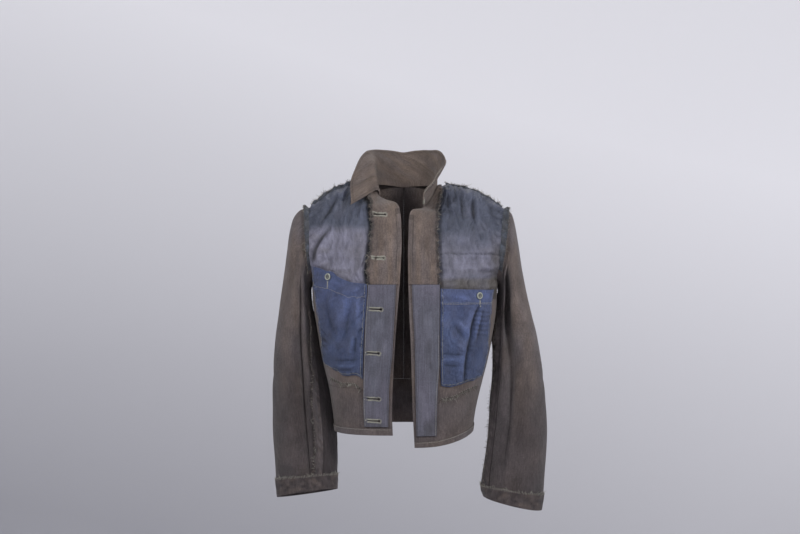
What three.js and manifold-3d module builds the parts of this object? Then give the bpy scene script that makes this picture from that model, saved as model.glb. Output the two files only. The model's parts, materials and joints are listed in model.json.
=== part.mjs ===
// A waist-length wool field jacket, worn inside out: the hollow form it keeps on the wearer.
// Millimetres, +Z up, the front faces -Y. The origin is midway between the shoulders, at the base of
// the neck, where the wearer carries it. "right" and "left" are the wearer's: right is -X, left is +X.
//
// Every cloth piece is a wall made on a surface of two parameters. The body is a stack of rows, each
// running from the front edge (or the centre back) round to the armhole or the side seam.
import * as THREE from "three";
import { mergeVertices } from "three/addons/utils/BufferGeometryUtils.js";
import Module from "manifold-3d";

const wasm = await Module();
wasm.setup();

// ---------------------------------------------------------------- driving sizes
const WOOL = 2; // body cloth
const THIN = 1; // lining and pocket cloth
const FACING = 1.5;
const SEAM = 0.2; // half the gap left where two pieces are sewn together
const ARMHOLE_SEAM = 0.7; // the gap between body and sleeve
const FIRST_LAYER = 0.35; // height of what lies straight on a panel
const SECOND_LAYER = 1.7; // height of what lies on the lining
const SECTION_POWER = 2.6; // 2 is an ellipse, more is squarer
const RIGHT = -1;
const LEFT = 1;
const FRONT = -1;
const BACK = 1;
const SIDES = [
  { name: "right", side: RIGHT },
  { name: "left", side: LEFT },
];

const ARMHOLE = { middle: -119.5, halfHeight: 76.5, front: 58, back: 55 };
const ARMHOLE_X = {
  right: { top: 193, bottom: 187, scoop: 3 },
  left: { top: 204, bottom: 190, scoop: 7 },
};

const WAIST_ROW = 14; // the waist seam
const HEM_ROW = 16;
const ROW_DROP = 45; // from one row to the next below the waist
const HEM_TURN = 13;

const COLUMNS = 8; // of each front and each half of the back
const TOP_SLEEVE = 13;
const UNDER_SLEEVE = 6;
const BUTTON = { radius: 9.5, height: 3, dish: 1.2 };
const POCKET_BUTTON = { radius: 7, height: 3, dish: 1 };
const BUTTONHOLE = { length: 22, width: 3, eye: 2.6 };

// ---------------------------------------------------------------- materials
const finish = (color, roughness) =>
  new THREE.MeshStandardMaterial({ color, roughness, metalness: 0 });
const wool = finish("#5d544e", 0.95);
const satin = finish("#5f6475", 0.55);
const blueCotton = finish("#434f78", 0.8);
const drill = finish("#5c5f6b", 0.85);
const horn = finish("#8f9488", 0.5);
const metal = finish("#4b4f4a", 0.55);

// ---------------------------------------------------------------- tables
const table = (names, rows) =>
  rows.map((row) => Object.fromEntries(names.map((name, i) => [name, row[i]])));

const radians = THREE.MathUtils.degToRad;
const mix = THREE.MathUtils.lerp;

// One column at a fractional row: a Catmull-Rom curve through the rows.
function column(rows, key, v) {
  const last = rows.length - 1;
  const k = Math.min(Math.max(Math.floor(v), 0), last - 1);
  const t = v - k;
  const at = (i) => {
    if (i < 0) return 2 * rows[0][key] - rows[1][key];
    if (i > last) return 2 * rows[last][key] - rows[last - 1][key];
    return rows[i][key];
  };
  const [a, b, c, d] = [at(k - 1), at(k), at(k + 1), at(k + 2)];
  const bend = (2 * a - 5 * b + 4 * c - d) * t + (3 * b - a - 3 * c + d) * t * t;
  return 0.5 * (2 * b + (c - a + bend) * t);
}

// The armhole, an upright oval on the body's side. The angle is 0 at the shoulder, 180 underarm.
function armhole(name, face, degrees) {
  const { top, bottom, scoop } = ARMHOLE_X[name];
  const angle = radians(degrees);
  const half = face === FRONT ? ARMHOLE.front : ARMHOLE.back;
  return {
    x: mix(bottom, top, (1 + Math.cos(angle)) / 2) - scoop * Math.sin(angle),
    depth: half * Math.sin(angle),
    z: ARMHOLE.middle + ARMHOLE.halfHeight * Math.cos(angle),
  };
}

// The outer end of each row: the armhole's angle for rows 0 to 10, then the side seam. turn is the
// share of a quarter turn the row makes on the way, and bow how late it falls to its outer end.
const OUTER = table(
  ["arm", "turn", "bow"],
  [
    [0.5, 0.5, 2.2],
    [10, 0.5, 2.1],
    [22, 0.5, 2],
    [36, 0.52, 1.9],
    [50, 0.55, 1.8],
    [66, 0.6, 1.7],
    [83, 0.65, 1.5],
    [102, 0.7, 1.3],
    [122, 0.78, 1.1],
    [146, 0.88, 1],
    [179.5, 1, 1],
  ],
);
const SIDE_SEAM = {
  right: table(
    ["x", "z", "bow"],
    [
      [183, -247, 1],
      [176, -294, 1],
      [166.5, -345, 1],
      [154.5, -395, 1],
      [147, -441, 1],
      [141, -488, 1],
    ],
  ),
  left: table(
    ["x", "z", "bow"],
    [
      [188, -247, 1],
      [181, -294, 1],
      [171, -345, 1],
      [157.5, -398, 1],
      [147, -443, 1.8],
      [140, -488, 2.4],
    ],
  ),
};

// The inner end of each row: down the shoulder, round the neckline and down the front edge.
const FRONT_EDGE = {
  right: table(
    ["x", "depth", "z"],
    [
      [61, 0.6, 13],
      [60, 14, 9.5],
      [57, 29, 0],
      [50, 47, -17],
      [35, 64, -27],
      [14, 81, -35],
      [7.5, 94, -53],
      [5, 108, -88],
      [5, 120, -125],
      [7, 127, -165],
      [9.5, 128.5, -203],
      [13.5, 127, -250],
      [17, 123, -297],
      [20, 116, -347],
      [22.5, 109, -399],
      [23.5, 105, -443],
      [22, 104, -488],
    ],
  ),
  left: table(
    ["x", "depth", "z"],
    [
      [70, 0.6, 7],
      [68.5, 14, 4.5],
      [64, 29, -5],
      [54, 47, -24],
      [37, 65, -43],
      [15, 81, -48.5],
      [9.5, 93, -65],
      [8.5, 107, -93],
      [7.5, 120, -127],
      [7.5, 127, -166],
      [8.5, 128.5, -204],
      [10, 127, -252],
      [12.5, 123, -303],
      [14.5, 116, -366],
      [16.5, 109, -436],
      [18.5, 105, -475],
      [20.5, 104, -512],
    ],
  ),
};
// Down the shoulder, round the back of the neck and down the centre back.
const BACK_EDGE = table(
  ["x", "depth", "z"],
  [
    [61, 0.6, 13],
    [59, 14, 14],
    [54, 29, 15],
    [43, 46, 15.5],
    [28, 58, 14.5],
    [12, 65, 13],
    [0, 67, 11],
    [0, 82, -25],
    [0, 95, -75],
    [0, 102, -130],
    [0, 105, -188],
    [0, 104, -243],
    [0, 101, -293],
    [0, 96, -345],
    [0, 91, -396],
    [0, 89, -442],
    [0, 90, -488],
  ],
);
// The neck opening spreads further on the left, where its shoulder also sits lower.
const LEFT_NECK = { spread: 70 / 61, drop: [6, 5, 3.5, 2, 1] };
const backEdge = {
  right: BACK_EDGE,
  left: BACK_EDGE.map(({ x, depth, z }, v) => ({
    x: x * LEFT_NECK.spread,
    depth,
    z: z - (LEFT_NECK.drop[v] ?? 0),
  })),
};

// Puts the outer ends on a table of inner ends.
function bodyRows(name, face, edge) {
  return edge.map((inner, i) => {
    const { arm, turn, bow } = OUTER[Math.min(i, OUTER.length - 1)];
    const seam = SIDE_SEAM[name][i - OUTER.length];
    const outer = seam ? { ...seam, depth: 0.2 } : armhole(name, face, arm);
    return {
      ...inner,
      outX: outer.x,
      outDepth: Math.max(outer.depth, 0.2),
      outZ: outer.z,
      turn,
      bow: outer.bow ?? bow,
    };
  });
}
const BODY = {};
for (const { name } of SIDES) {
  BODY[name] = {
    [FRONT]: bodyRows(name, FRONT, FRONT_EDGE[name]),
    [BACK]: bodyRows(name, BACK, backEdge[name]),
  };
}

// Sleeve rings from the armhole to the cuff. out and in are the ring's ends furthest from and nearest
// to the body, y its middle, half its half width from front to back, rise how far its front is tipped
// up, and seam the front seam's angle.
const RING = ["outX", "outZ", "inX", "inZ", "y", "half", "rise", "seam"];
const SLEEVE = {
  right: table(RING, [
    [195.5, -43, 189.5, -197, 0, 56.5, 0, 160],
    [210, -41, 190, -208, 0, 58, 0, 159],
    [226, -60, 189, -224, 0, 60, 0, 156],
    [236, -98, 187.5, -243, 0, 61, 0, 152],
    [242.5, -150, 183.5, -270, 0, 61, 0, 147],
    [251, -210, 178, -300, -2, 60, 0, 143],
    [258.5, -275, 171.5, -335, -4, 58, 0, 141],
    [264.5, -345, 161.5, -380, -6, 56, 0, 138],
    [267.5, -415, 153, -427, -10, 53, 2, 134.5],
    [267, -482, 146, -480, -16, 50, 4, 133.5],
    [262.5, -537, 140, -532, -24, 46, 6, 130],
    [258.5, -586, 136.5, -575, -31, 43, 8, 124],
    [254.5, -622, 135.5, -605, -36, 41, 10, 120],
  ]),
  left: table(RING, [
    [206.5, -43, 192.5, -197, 0, 56.5, 0, 145],
    [219, -48, 193.5, -210, 0, 58, 0, 144],
    [228, -80, 193, -228, 0, 60, 0, 141],
    [236, -122, 191.5, -250, 0, 61, 0, 136],
    [244, -170, 187.5, -276, 0, 61, 0, 130],
    [254, -222, 183.5, -306, -2, 60, 0, 129],
    [266, -276, 182, -340, -4, 58, 0, 132],
    [277, -336, 180.5, -380, -6, 56, 0, 137],
    [286.5, -404, 175, -430, -10, 53, 1, 139],
    [291, -474, 171.5, -484, -16, 50, 2, 143],
    [288, -545, 164, -540, -24, 46, 4, 143],
    [282, -614, 156, -596, -31, 43, 2, 141],
    [276.5, -647, 161, -620, -36, 41, 0, 140],
  ]),
};
const CUFF_RING = 12;
const BACK_SEAM = 245; // the elbow seam's angle
// The long crease down the front of each sleeve, as a trough in the ring.
const CREASE = {
  right: { angle: 103, spread: 11, deep: 9, from: 2.5, to: 12 },
  left: { angle: 109, spread: 14, deep: 13, from: 1.5, to: 9 },
};

// The collar's sections from the right front end round the back of the neck to the left front end.
// v is the neckline's row and face its half. The stand rises from the seam, and the leaf goes on from
// it, turned outwards by turn degrees from upright and swung by swing degrees towards the front.
const COLLAR = table(
  ["side", "face", "v", "stand", "leaf", "turn", "swing"],
  [
    [RIGHT, FRONT, 2.9, 14, 70, 118, 13],
    [RIGHT, FRONT, 2.2, 24, 61, 122, 8],
    [RIGHT, FRONT, 1.5, 32, 52, 117, 4],
    [RIGHT, FRONT, 0.8, 41, 39, 109, 0],
    [RIGHT, FRONT, 0.1, 50, 29, 96, 0],
    [RIGHT, BACK, 0.8, 54, 23, 68, 0],
    [RIGHT, BACK, 1.7, 53, 22, 42, 0],
    [RIGHT, BACK, 3, 50, 24, 25, 0],
    [RIGHT, BACK, 4.5, 48, 26, 17, 0],
    [RIGHT, BACK, 6, 48, 26, 14, 0],
    [LEFT, BACK, 4.5, 48, 27, 17, 0],
    [LEFT, BACK, 3, 48, 27, 21, 0],
    [LEFT, BACK, 1.9, 44, 31, 24, 0],
    [LEFT, BACK, 1, 36, 32, 30, 0],
    [LEFT, FRONT, 0.1, 29, 30, 34, 8],
    [LEFT, FRONT, 0.8, 24, 33, 40, 26],
    [LEFT, FRONT, 1.5, 18, 38, 52, 48],
    [LEFT, FRONT, 2.2, 13, 45, 66, 60],
    [LEFT, FRONT, 2.9, 9, 52, 77, 60],
    [LEFT, FRONT, 3.8, 6, 54, 82, 49],
  ],
);

// ---------------------------------------------------------------- surfaces
// Shares of a row are eased at both ends, so that even shares give even columns.
const EASE = 1.25;
const ease = (u) => u ** EASE / (u ** EASE + (1 - u) ** EASE);
const uneased = (w) => w ** (1 / EASE) / (w ** (1 / EASE) + (1 - w) ** (1 / EASE));
const quarterAt = (rows, v) => (Math.PI / 2) * Math.min(column(rows, "turn", v), 1);

// A point of the body: v is the row, u runs from the inner end (0) to the outer end (1).
function bodyPoint(name, face, v, u) {
  const rows = BODY[name][face];
  const at = (key) => column(rows, key, v);
  const power = 2 / SECTION_POWER;
  const quarter = quarterAt(rows, v);
  const swing = quarter * ease(u);
  const across = (Math.sin(swing) / Math.sin(quarter)) ** power;
  const cosine = (angle) => Math.max(Math.cos(angle), 0) ** power;
  const inward = (1 - cosine(swing)) / (1 - cosine(quarter));
  const side = name === "right" ? RIGHT : LEFT;
  return new THREE.Vector3(
    side * mix(at("x"), at("outX"), across),
    face * mix(at("depth"), at("outDepth"), inward),
    mix(at("z"), at("outZ"), across ** at("bow")),
  );
}

// The share u at which a row passes the distance x from the middle.
function shareAt(name, face, v, x) {
  const rows = BODY[name][face];
  const quarter = quarterAt(rows, v);
  const across = (x - column(rows, "x", v)) / (column(rows, "outX", v) - column(rows, "x", v));
  const sine = THREE.MathUtils.clamp(across, 0, 1) ** (SECTION_POWER / 2) * Math.sin(quarter);
  return uneased(Math.asin(Math.min(sine, 1)) / quarter);
}

// The row at which the line of share u passes the height z: by halving, since z falls with v.
function rowAt(name, face, u, z) {
  let [low, high] = [0, HEM_ROW];
  for (let i = 0; i < 24; i++) {
    const middle = (low + high) / 2;
    if (bodyPoint(name, face, middle, u).z > z) low = middle;
    else high = middle;
  }
  return (low + high) / 2;
}

// A point of a sleeve: v is the ring, the angle is 0 furthest from the body, 90 in front.
function sleevePoint(name, v, degrees) {
  const rings = SLEEVE[name];
  const at = (key) => column(rings, key, v);
  const side = name === "right" ? RIGHT : LEFT;
  const angle = radians(degrees);
  const { angle: centre, spread, deep, from, to } = CREASE[name];
  const along = THREE.MathUtils.clamp((v - from) / (to - from), 0, 1);
  const fade = Math.sin(Math.PI * along) ** 0.6;
  const trough = deep * fade * Math.exp(-(((degrees - centre) / spread) ** 2));
  const half = at("half");
  const shrink = 1 - trough / half;
  const x = (at("outX") + at("inX")) / 2 + ((at("outX") - at("inX")) / 2) * Math.cos(angle) * shrink;
  const z = (at("outZ") + at("inZ")) / 2 + ((at("outZ") - at("inZ")) / 2) * Math.cos(angle) * shrink;
  const front = Math.sin(angle) * shrink;
  const ringed = new THREE.Vector3(side * x, at("y") - half * front, z + at("rise") * front);
  if (v >= 1) return ringed;
  // The first ring is the armhole's edge, a seam's gap away from the body.
  const turned = (((degrees % 360) + 540) % 360) - 180;
  const face = turned > 0 ? FRONT : BACK;
  const edge = armhole(name, face, Math.abs(turned));
  const start = new THREE.Vector3(side * (edge.x + ARMHOLE_SEAM), face * edge.depth, edge.z);
  return start.lerp(ringed, THREE.MathUtils.smoothstep(v, 0, 1));
}

// A surface with its outward normals, from a point function of s and t and a point inside it.
function framed(pointAt, inside) {
  const step = 1e-3;
  const turnedAt = (s, t) => {
    const along = pointAt(Math.min(s + step, 1), t).sub(pointAt(Math.max(s - step, 0), t));
    const down = pointAt(s, Math.min(t + step, 1)).sub(pointAt(s, Math.max(t - step, 0)));
    return along.cross(down).normalize();
  };
  const hand = Math.sign(pointAt(0.5, 0.5).sub(inside).dot(turnedAt(0.5, 0.5)));
  return (s, t) => ({ point: pointAt(s, t), normal: turnedAt(s, t).multiplyScalar(hand) });
}
const bodyMiddle = (side) => new THREE.Vector3(side * 60, 0, -260);

// ---------------------------------------------------------------- solids
// A cloth wall on a surface: two faces, lift and lift + thickness above it, and the rims between.
// columns and rows list the surface's s and t. hold may keep points on their own side of a seam.
function wall(surface, columns, rows, lift, thickness, { ring = false, hold = (p) => p } = {}) {
  const across = columns.length;
  const layer = across * rows.length;
  const positions = [];
  for (const height of [lift, lift + thickness]) {
    for (const t of rows) {
      for (const s of columns) {
        const { point, normal } = surface(s, t);
        const seat = point.clone();
        positions.push(...hold(point.addScaledVector(normal, height), seat, t));
      }
    }
  }
  const at = (k, i, j) => k * layer + j * across + (i % across);
  const index = [];
  const quad = (a, b, c, d) => index.push(a, b, c, a, c, d);
  const lastRow = rows.length - 1;
  const steps = ring ? across : across - 1;
  for (let j = 0; j < lastRow; j++) {
    for (let i = 0; i < steps; i++) {
      quad(at(1, i, j), at(1, i + 1, j), at(1, i + 1, j + 1), at(1, i, j + 1));
      quad(at(0, i, j), at(0, i, j + 1), at(0, i + 1, j + 1), at(0, i + 1, j));
    }
  }
  for (let i = 0; i < steps; i++) {
    quad(at(0, i, 0), at(0, i + 1, 0), at(1, i + 1, 0), at(1, i, 0));
    quad(at(1, i, lastRow), at(1, i + 1, lastRow), at(0, i + 1, lastRow), at(0, i, lastRow));
  }
  for (let j = 0; j < lastRow && !ring; j++) {
    quad(at(1, 0, j), at(1, 0, j + 1), at(0, 0, j + 1), at(0, 0, j));
    quad(at(0, steps, j), at(0, steps, j + 1), at(1, steps, j + 1), at(1, steps, j));
  }
  return facingOut(positions, index);
}

// Even steps from 0 to 1.
const steps = (count) => Array.from({ length: count + 1 }, (_, i) => i / count);

// A geometry from points and triangles, turned round if its triangles face inwards.
function facingOut(positions, index) {
  const point = (i) => new THREE.Vector3().fromArray(positions, 3 * i);
  let volume = 0;
  for (let i = 0; i < index.length; i += 3) {
    volume += point(index[i]).dot(point(index[i + 1]).cross(point(index[i + 2])));
  }
  if (volume < 0) index.reverse();
  const geometry = new THREE.BufferGeometry();
  geometry.setAttribute("position", new THREE.Float32BufferAttribute(positions, 3));
  geometry.setIndex(index);
  return geometry;
}

// Fronts stay before the shoulder and side seams, backs behind them, and each half on its own side.
const holdTo = (face, side) => (point) => {
  point.y = face * Math.max(face * point.y, SEAM);
  if (side) point.x = side * Math.max(side * point.x, SEAM);
  return point;
};

// A panel of the body, from the first to the last of its rows. reach is how far along them it goes.
function bodyPanel(name, face, rows, lift, thickness, reach = 1) {
  const side = name === "right" ? RIGHT : LEFT;
  const pointAt = (s, t) => bodyPoint(name, face, t * HEM_ROW, s);
  const surface = framed(pointAt, bodyMiddle(side));
  const columns = [...steps(COLUMNS).slice(0, -1), reach];
  const shares = rows.map((v) => v / HEM_ROW);
  return wall(surface, columns, shares, lift, thickness, { hold: holdTo(face, side) });
}

function toManifold(geometry) {
  const bare = geometry.clone();
  bare.deleteAttribute("normal");
  bare.deleteAttribute("uv");
  const merged = mergeVertices(bare, 1e-4);
  return new wasm.Manifold(
    new wasm.Mesh({
      numProp: 3,
      vertProperties: merged.attributes.position.array,
      triVerts: new Uint32Array(merged.index.array),
    }),
  );
}

function toGeometry(solid) {
  const { vertProperties, triVerts } = solid.getMesh();
  const geometry = new THREE.BufferGeometry();
  geometry.setAttribute("position", new THREE.BufferAttribute(vertProperties, 3));
  geometry.setIndex(new THREE.BufferAttribute(triVerts, 1));
  return geometry;
}

// A flat outline of (distance from the middle, height) made a solid through the front.
function throughFront(side, outline) {
  const depth = 400;
  const shape = new THREE.Shape(outline.map(({ x, z }) => new THREE.Vector2(side * x, z)));
  const solid = new THREE.ExtrudeGeometry(shape, { depth, bevelEnabled: false });
  return toManifold(solid.rotateX(Math.PI / 2));
}

// ---------------------------------------------------------------- assembly
const jacket = new THREE.Group();
const solids = {};
function add(name, geometry, material) {
  const mesh = new THREE.Mesh(geometry, material);
  mesh.name = name;
  jacket.add(mesh);
  return mesh;
}

// A point on a front at distance x from the middle and height z, with its outward normal.
function onFront(name, x, z) {
  const side = name === "right" ? RIGHT : LEFT;
  const rounds = 6;
  let v = rowAt(name, FRONT, 0.3, z);
  for (let i = 0; i < rounds; i++) v = rowAt(name, FRONT, shareAt(name, FRONT, v, x), z);
  const u = shareAt(name, FRONT, v, x);
  const patch = { v: 0.2, u: 0.04 };
  const pointAt = (s, t) => bodyPoint(name, FRONT, v + patch.v * (t - 0.5), u + patch.u * (s - 0.5));
  return framed(pointAt, bodyMiddle(side))(0.5, 0.5);
}

// Keyhole buttonholes on the right front: the eye is at the end nearest the front edge.
const BUTTONHOLES = table(
  ["x", "z"],
  [
    [47.5, -56],
    [49.5, -141],
    [55, -239.5],
    [60, -325],
    [60, -415.5],
    [59, -459],
  ],
);
function buttonholeCutter({ x, z }) {
  const { point, normal } = onFront("right", x, z);
  const along = new THREE.Vector3(1, 0, 0).projectOnPlane(normal).normalize();
  const up = new THREE.Vector3().crossVectors(normal, along);
  const through = 16; // past all the layers
  const slot = new THREE.BoxGeometry(BUTTONHOLE.length, BUTTONHOLE.width, through);
  const eye = new THREE.CylinderGeometry(BUTTONHOLE.eye, BUTTONHOLE.eye, through, 8);
  eye.rotateX(Math.PI / 2).translate(BUTTONHOLE.length / 2 - 1, 0, 0);
  const place = new THREE.Matrix4().makeBasis(along, up, normal).setPosition(point);
  return toManifold(slot.applyMatrix4(place)).add(toManifold(eye.applyMatrix4(place)));
}
const holes = BUTTONHOLES.map(buttonholeCutter);
const pierced = (solid) => holes.reduce((rest, hole) => rest.subtract(hole), solid);
const opened = (name, solid) => (name === "right" ? pierced(solid) : solid);

// Wool shell: fronts and backs, with the waistband under them.
const rowGap = SEAM / ROW_DROP;
const bodyRowList = [0, 0.5, 1, 2, 3, 4, 5, 6, 7, 8, 9, 10, 11, 12, 13, WAIST_ROW - rowGap];
const bandRowList = [WAIST_ROW + rowGap, 15, HEM_ROW];
for (const { name } of SIDES) {
  for (const [part, rows] of [["front", bodyRowList], ["waistband_front", bandRowList]]) {
    const panel = toManifold(bodyPanel(name, FRONT, rows, -WOOL, WOOL));
    solids[`${part}_${name}`] = opened(name, panel);
    add(`${part}_${name}`, toGeometry(solids[`${part}_${name}`]), wool);
  }
  add(`back_${name}`, bodyPanel(name, BACK, bodyRowList, -WOOL, WOOL), wool);
}

// The lower back runs from side seam to side seam in one piece.
function backBand(rows, lift, thickness) {
  const pointAt = (s, t) => {
    const name = s < 0.5 ? "right" : "left";
    return bodyPoint(name, BACK, t * HEM_ROW, Math.abs(2 * s - 1));
  };
  const shares = rows.map((v) => v / HEM_ROW);
  const surface = framed(pointAt, bodyMiddle(0));
  return wall(surface, steps(2 * COLUMNS), shares, lift, thickness, { hold: holdTo(BACK) });
}
add("waistband_back", backBand(bandRowList, -WOOL, WOOL), wool);

// The lower edge is turned up against the cloth.
const turnRowList = [HEM_ROW - HEM_TURN / ROW_DROP, HEM_ROW];
for (const { name } of SIDES) {
  add(`hem_turn_${name}`, bodyPanel(name, FRONT, turnRowList, FIRST_LAYER, FACING), wool);
}
add("hem_turn_back", backBand(turnRowList, FIRST_LAYER, FACING), wool);

// What lies on a front: a wall on all of the front, cut to an outline. It stops just short of the
// armhole and the side seam.
const LAYER_REACH = 0.975;
const FRONT_ROWS = [...bodyRowList.slice(0, -1), WAIST_ROW, 15, HEM_ROW];
function layer(name, outline, lift, thickness) {
  const side = name === "right" ? RIGHT : LEFT;
  const whole = toManifold(bodyPanel(name, FRONT, FRONT_ROWS, lift, thickness, LAYER_REACH));
  return whole.intersect(throughFront(side, outline));
}
const outline = (rows) => table(["x", "z"], rows);

// Facings down the front edges: wool above, sewn to drill below. Each list is the facing's outer edge.
const FACING_SEAM = -192;
const FACING_GAP = 0.3; // between the wool facing and the drill one
const ABOVE_ALL = 40;
const BEYOND_ALL = 215;
const FACING_EDGE = {
  right: outline([
    [76, ABOVE_ALL], [70, -20], [66, -36], [62, -82], [66, -123], [71, -165], [70, FACING_SEAM],
    [70.5, -212], [74, -255], [76, -305], [78.5, -373], [79, -416], [77, -471],
  ]),
  left: outline([
    [77, ABOVE_ALL], [74, -20], [68.5, -36], [64.5, -90], [65, -125], [67, -164], [68.5, FACING_SEAM],
    [68.5, -290], [68.5, -350], [65, -393], [63.5, -440], [63, -487],
  ]),
};
// The drill facing's edge towards the front edge, where a strip of the wool is left bare.
const STRIP = {
  right: outline([
    [15.5, -193], [19, -259], [23, -327], [26.5, -361], [29.5, -396], [31, -471],
  ]),
  left: outline([
    [15, -193], [17, -244], [20.5, -301], [21.5, -347], [22, -393], [24.5, -492],
  ]),
};
for (const { name } of SIDES) {
  const edge = FACING_EDGE[name];
  const above = edge.filter(({ z }) => z >= FACING_SEAM);
  const below = edge.filter(({ z }) => z <= FACING_SEAM);
  const upper = [{ x: 0, z: FACING_SEAM }, { x: 0, z: ABOVE_ALL }, ...above];
  const top = { x: below[0].x, z: FACING_SEAM - FACING_GAP };
  const lower = [...STRIP[name].toReversed(), top, ...below.slice(1)];
  const woolFacing = opened(name, layer(name, upper, SECOND_LAYER, FACING));
  const drillFacing = opened(name, layer(name, lower, SECOND_LAYER, FACING));
  add(`facing_upper_${name}`, toGeometry(woolFacing), wool);
  add(`facing_lower_${name}`, toGeometry(drillFacing), drill);
}

// Chest linings, from the shoulder to behind the pocket bags, trimmed clear under the arm.
const LINING_FOOT = { right: -208, left: -222 };
const LINING_TUCK = 5; // under the facing's edge
const UNDERARM_TRIM = { inset: 6, from: -178, to: -140 }; // clear of the armhole's lowest part
for (const { name } of SIDES) {
  const foot = LINING_FOOT[name];
  const inner = FACING_EDGE[name]
    .filter(({ z }) => z > foot)
    .map(({ x, z }) => ({ x: x - LINING_TUCK, z }));
  const under = ARMHOLE_X[name].bottom - UNDERARM_TRIM.inset;
  const outer = outline([
    [under, foot],
    [under, UNDERARM_TRIM.from],
    [BEYOND_ALL, UNDERARM_TRIM.to],
    [BEYOND_ALL, ABOVE_ALL],
  ]);
  const around = [...inner, { x: inner.at(-1).x, z: foot }, ...outer];
  add(`chest_lining_${name}`, toGeometry(layer(name, around, FIRST_LAYER, THIN)), satin);
}

// Pocket bags, sewn down over the lining's lower edge and beside the facing.
// Each outline runs along the mouth, down the outer side, along the foot and up the inner side.
const POCKET = {
  right: outline([
    [72, -191], [104, -187], [128, -177], [138, -168], [150, -166], [160, -162], [172, -158],
    [183, -157], [179, -203], [171.5, -249], [165, -297], [160, -343],
    [150.5, -354], [128, -364], [118.5, -371], [93, -369], [80.5, -377],
    [79, -330], [77, -284], [72.5, -217],
  ]),
  left: outline([
    [70.5, -200], [104, -201], [140, -202], [179, -203],
    [177, -206], [172.5, -234], [168, -281], [166.5, -316], [161, -351],
    [154, -375], [130, -382.5], [110, -387.5], [91, -392], [75, -390.5], [71.5, -385],
    [70.5, -290],
  ]),
};
for (const { name } of SIDES) {
  const bag = layer(name, POCKET[name], SECOND_LAYER, THIN);
  add(`pocket_bag_${name}`, toGeometry(bag), blueCotton);
}

// Buttons: a dished disc turned on its own axis, moved out until it clears the cloth.
function button({ radius, height, dish }, segments) {
  const profile = [
    [0, 0],
    [radius * 0.8, 0],
    [radius, height * 0.45],
    [radius * 0.86, height],
    [radius * 0.6, height],
    [radius * 0.45, height - dish],
    [0, height - dish],
  ].map(([r, h]) => new THREE.Vector2(r, h));
  return new THREE.LatheGeometry(profile, segments);
}
function setButton(name, size, segments, { point, normal }, cloth, material) {
  const mesh = add(name, button(size, segments), material);
  mesh.quaternion.setFromUnitVectors(new THREE.Vector3(0, 1, 0), normal);
  const clear = 0.25;
  const furthest = 8;
  for (let gap = 0; gap < furthest; gap += clear) {
    mesh.position.copy(point).addScaledVector(normal, gap);
    mesh.updateMatrixWorld(true);
    const placed = toManifold(mesh.geometry.clone().applyMatrix4(mesh.matrixWorld));
    if (placed.intersect(cloth).volume() === 0) break;
  }
  mesh.position.addScaledVector(normal, clear);
}
const POCKET_BUTTONS = { right: { x: 146.5, z: -177.5 }, left: { x: 144, z: -214 } };
for (const { name } of SIDES) {
  const { x, z } = POCKET_BUTTONS[name];
  const bag = toManifold(jacket.getObjectByName(`pocket_bag_${name}`).geometry);
  setButton(`pocket_button_${name}`, POCKET_BUTTON, 12, onFront(name, x, z), bag, horn);
}
// The front's own buttons are on the left front's other face, inside the worn jacket.
const BUTTON_SHIFT = { x: -8, z: -4 }; // a buttoned front laps over by about this much
BUTTONHOLES.forEach(({ x, z }, i) => {
  const { point, normal } = onFront("left", x + BUTTON_SHIFT.x, z + BUTTON_SHIFT.z);
  const place = { point, normal: normal.negate() };
  const cloth = solids.front_left.add(solids.waistband_front_left);
  setButton(`front_button_${i + 1}`, BUTTON, 10, place, cloth, metal);
});

// Keeps a sewn edge's thickness from reaching nearer to the body than the edge itself.
const awayFromBody = (side) => (point, seat) => {
  point.x = side * Math.max(side * point.x, side * seat.x);
  return point;
};

// Sleeves in two pieces, sewn at the front seam and the elbow seam.
const sleeveRows = steps(CUFF_RING);
for (const { name, side } of SIDES) {
  const seamGap = 0.4; // degrees
  const seam = (v) => column(SLEEVE[name], "seam", v);
  const between = (from, to) => {
    const pointAt = (s, t) => {
      const v = t * CUFF_RING;
      return sleevePoint(name, v, mix(from(v), to(v), s));
    };
    return framed(pointAt, new THREE.Vector3(side * 220, -5, -375));
  };
  const top = between((v) => seam(v) - seamGap, () => BACK_SEAM - 360 + seamGap);
  const under = between(() => BACK_SEAM - seamGap, (v) => seam(v) + seamGap);
  const sewn = { hold: (point, seat, t) => (t === 0 ? awayFromBody(side)(point, seat) : point) };
  add(`sleeve_top_${name}`, wall(top, steps(TOP_SLEEVE), sleeveRows, -WOOL, WOOL, sewn), wool);
  add(`sleeve_under_${name}`, wall(under, steps(UNDER_SLEEVE), sleeveRows, -WOOL, WOOL, sewn), wool);

  // The cuff's turned-up hem, on the sleeve's last ring.
  const onTop = steps(TOP_SLEEVE).map((s) => [s, top]);
  const all = [...onTop, ...steps(UNDER_SLEEVE).map((s) => [s, under])];
  const around = (i, t) => all[i][1](all[i][0], t);
  const places = all.map((_, i) => i).filter((i) => i !== TOP_SLEEVE + 1 && i !== all.length - 1);
  const lastRows = sleeveRows.slice(-2);
  add(`cuff_turn_${name}`, wall(around, places, lastRows, FIRST_LAYER, FACING, { ring: true }), wool);

  // The front seam's allowance lies beside it: on the top sleeve at the right arm, on the under sleeve
  // at the left.
  const width = 0.8; // of a column
  const cuffGap = 0.0012; // of the sleeve's length
  const [lie, start, from, to] =
    name === "right" ? [top, 4, 0, width / TOP_SLEEVE] : [under, 3, 1 - width / UNDER_SLEEVE, 1];
  const rows = sleeveRows.slice(start, -1);
  rows[rows.length - 1] -= cuffGap;
  add(`sleeve_allowance_${name}`, wall(lie, [from, to], rows, FIRST_LAYER, FACING), wool);
}

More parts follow.
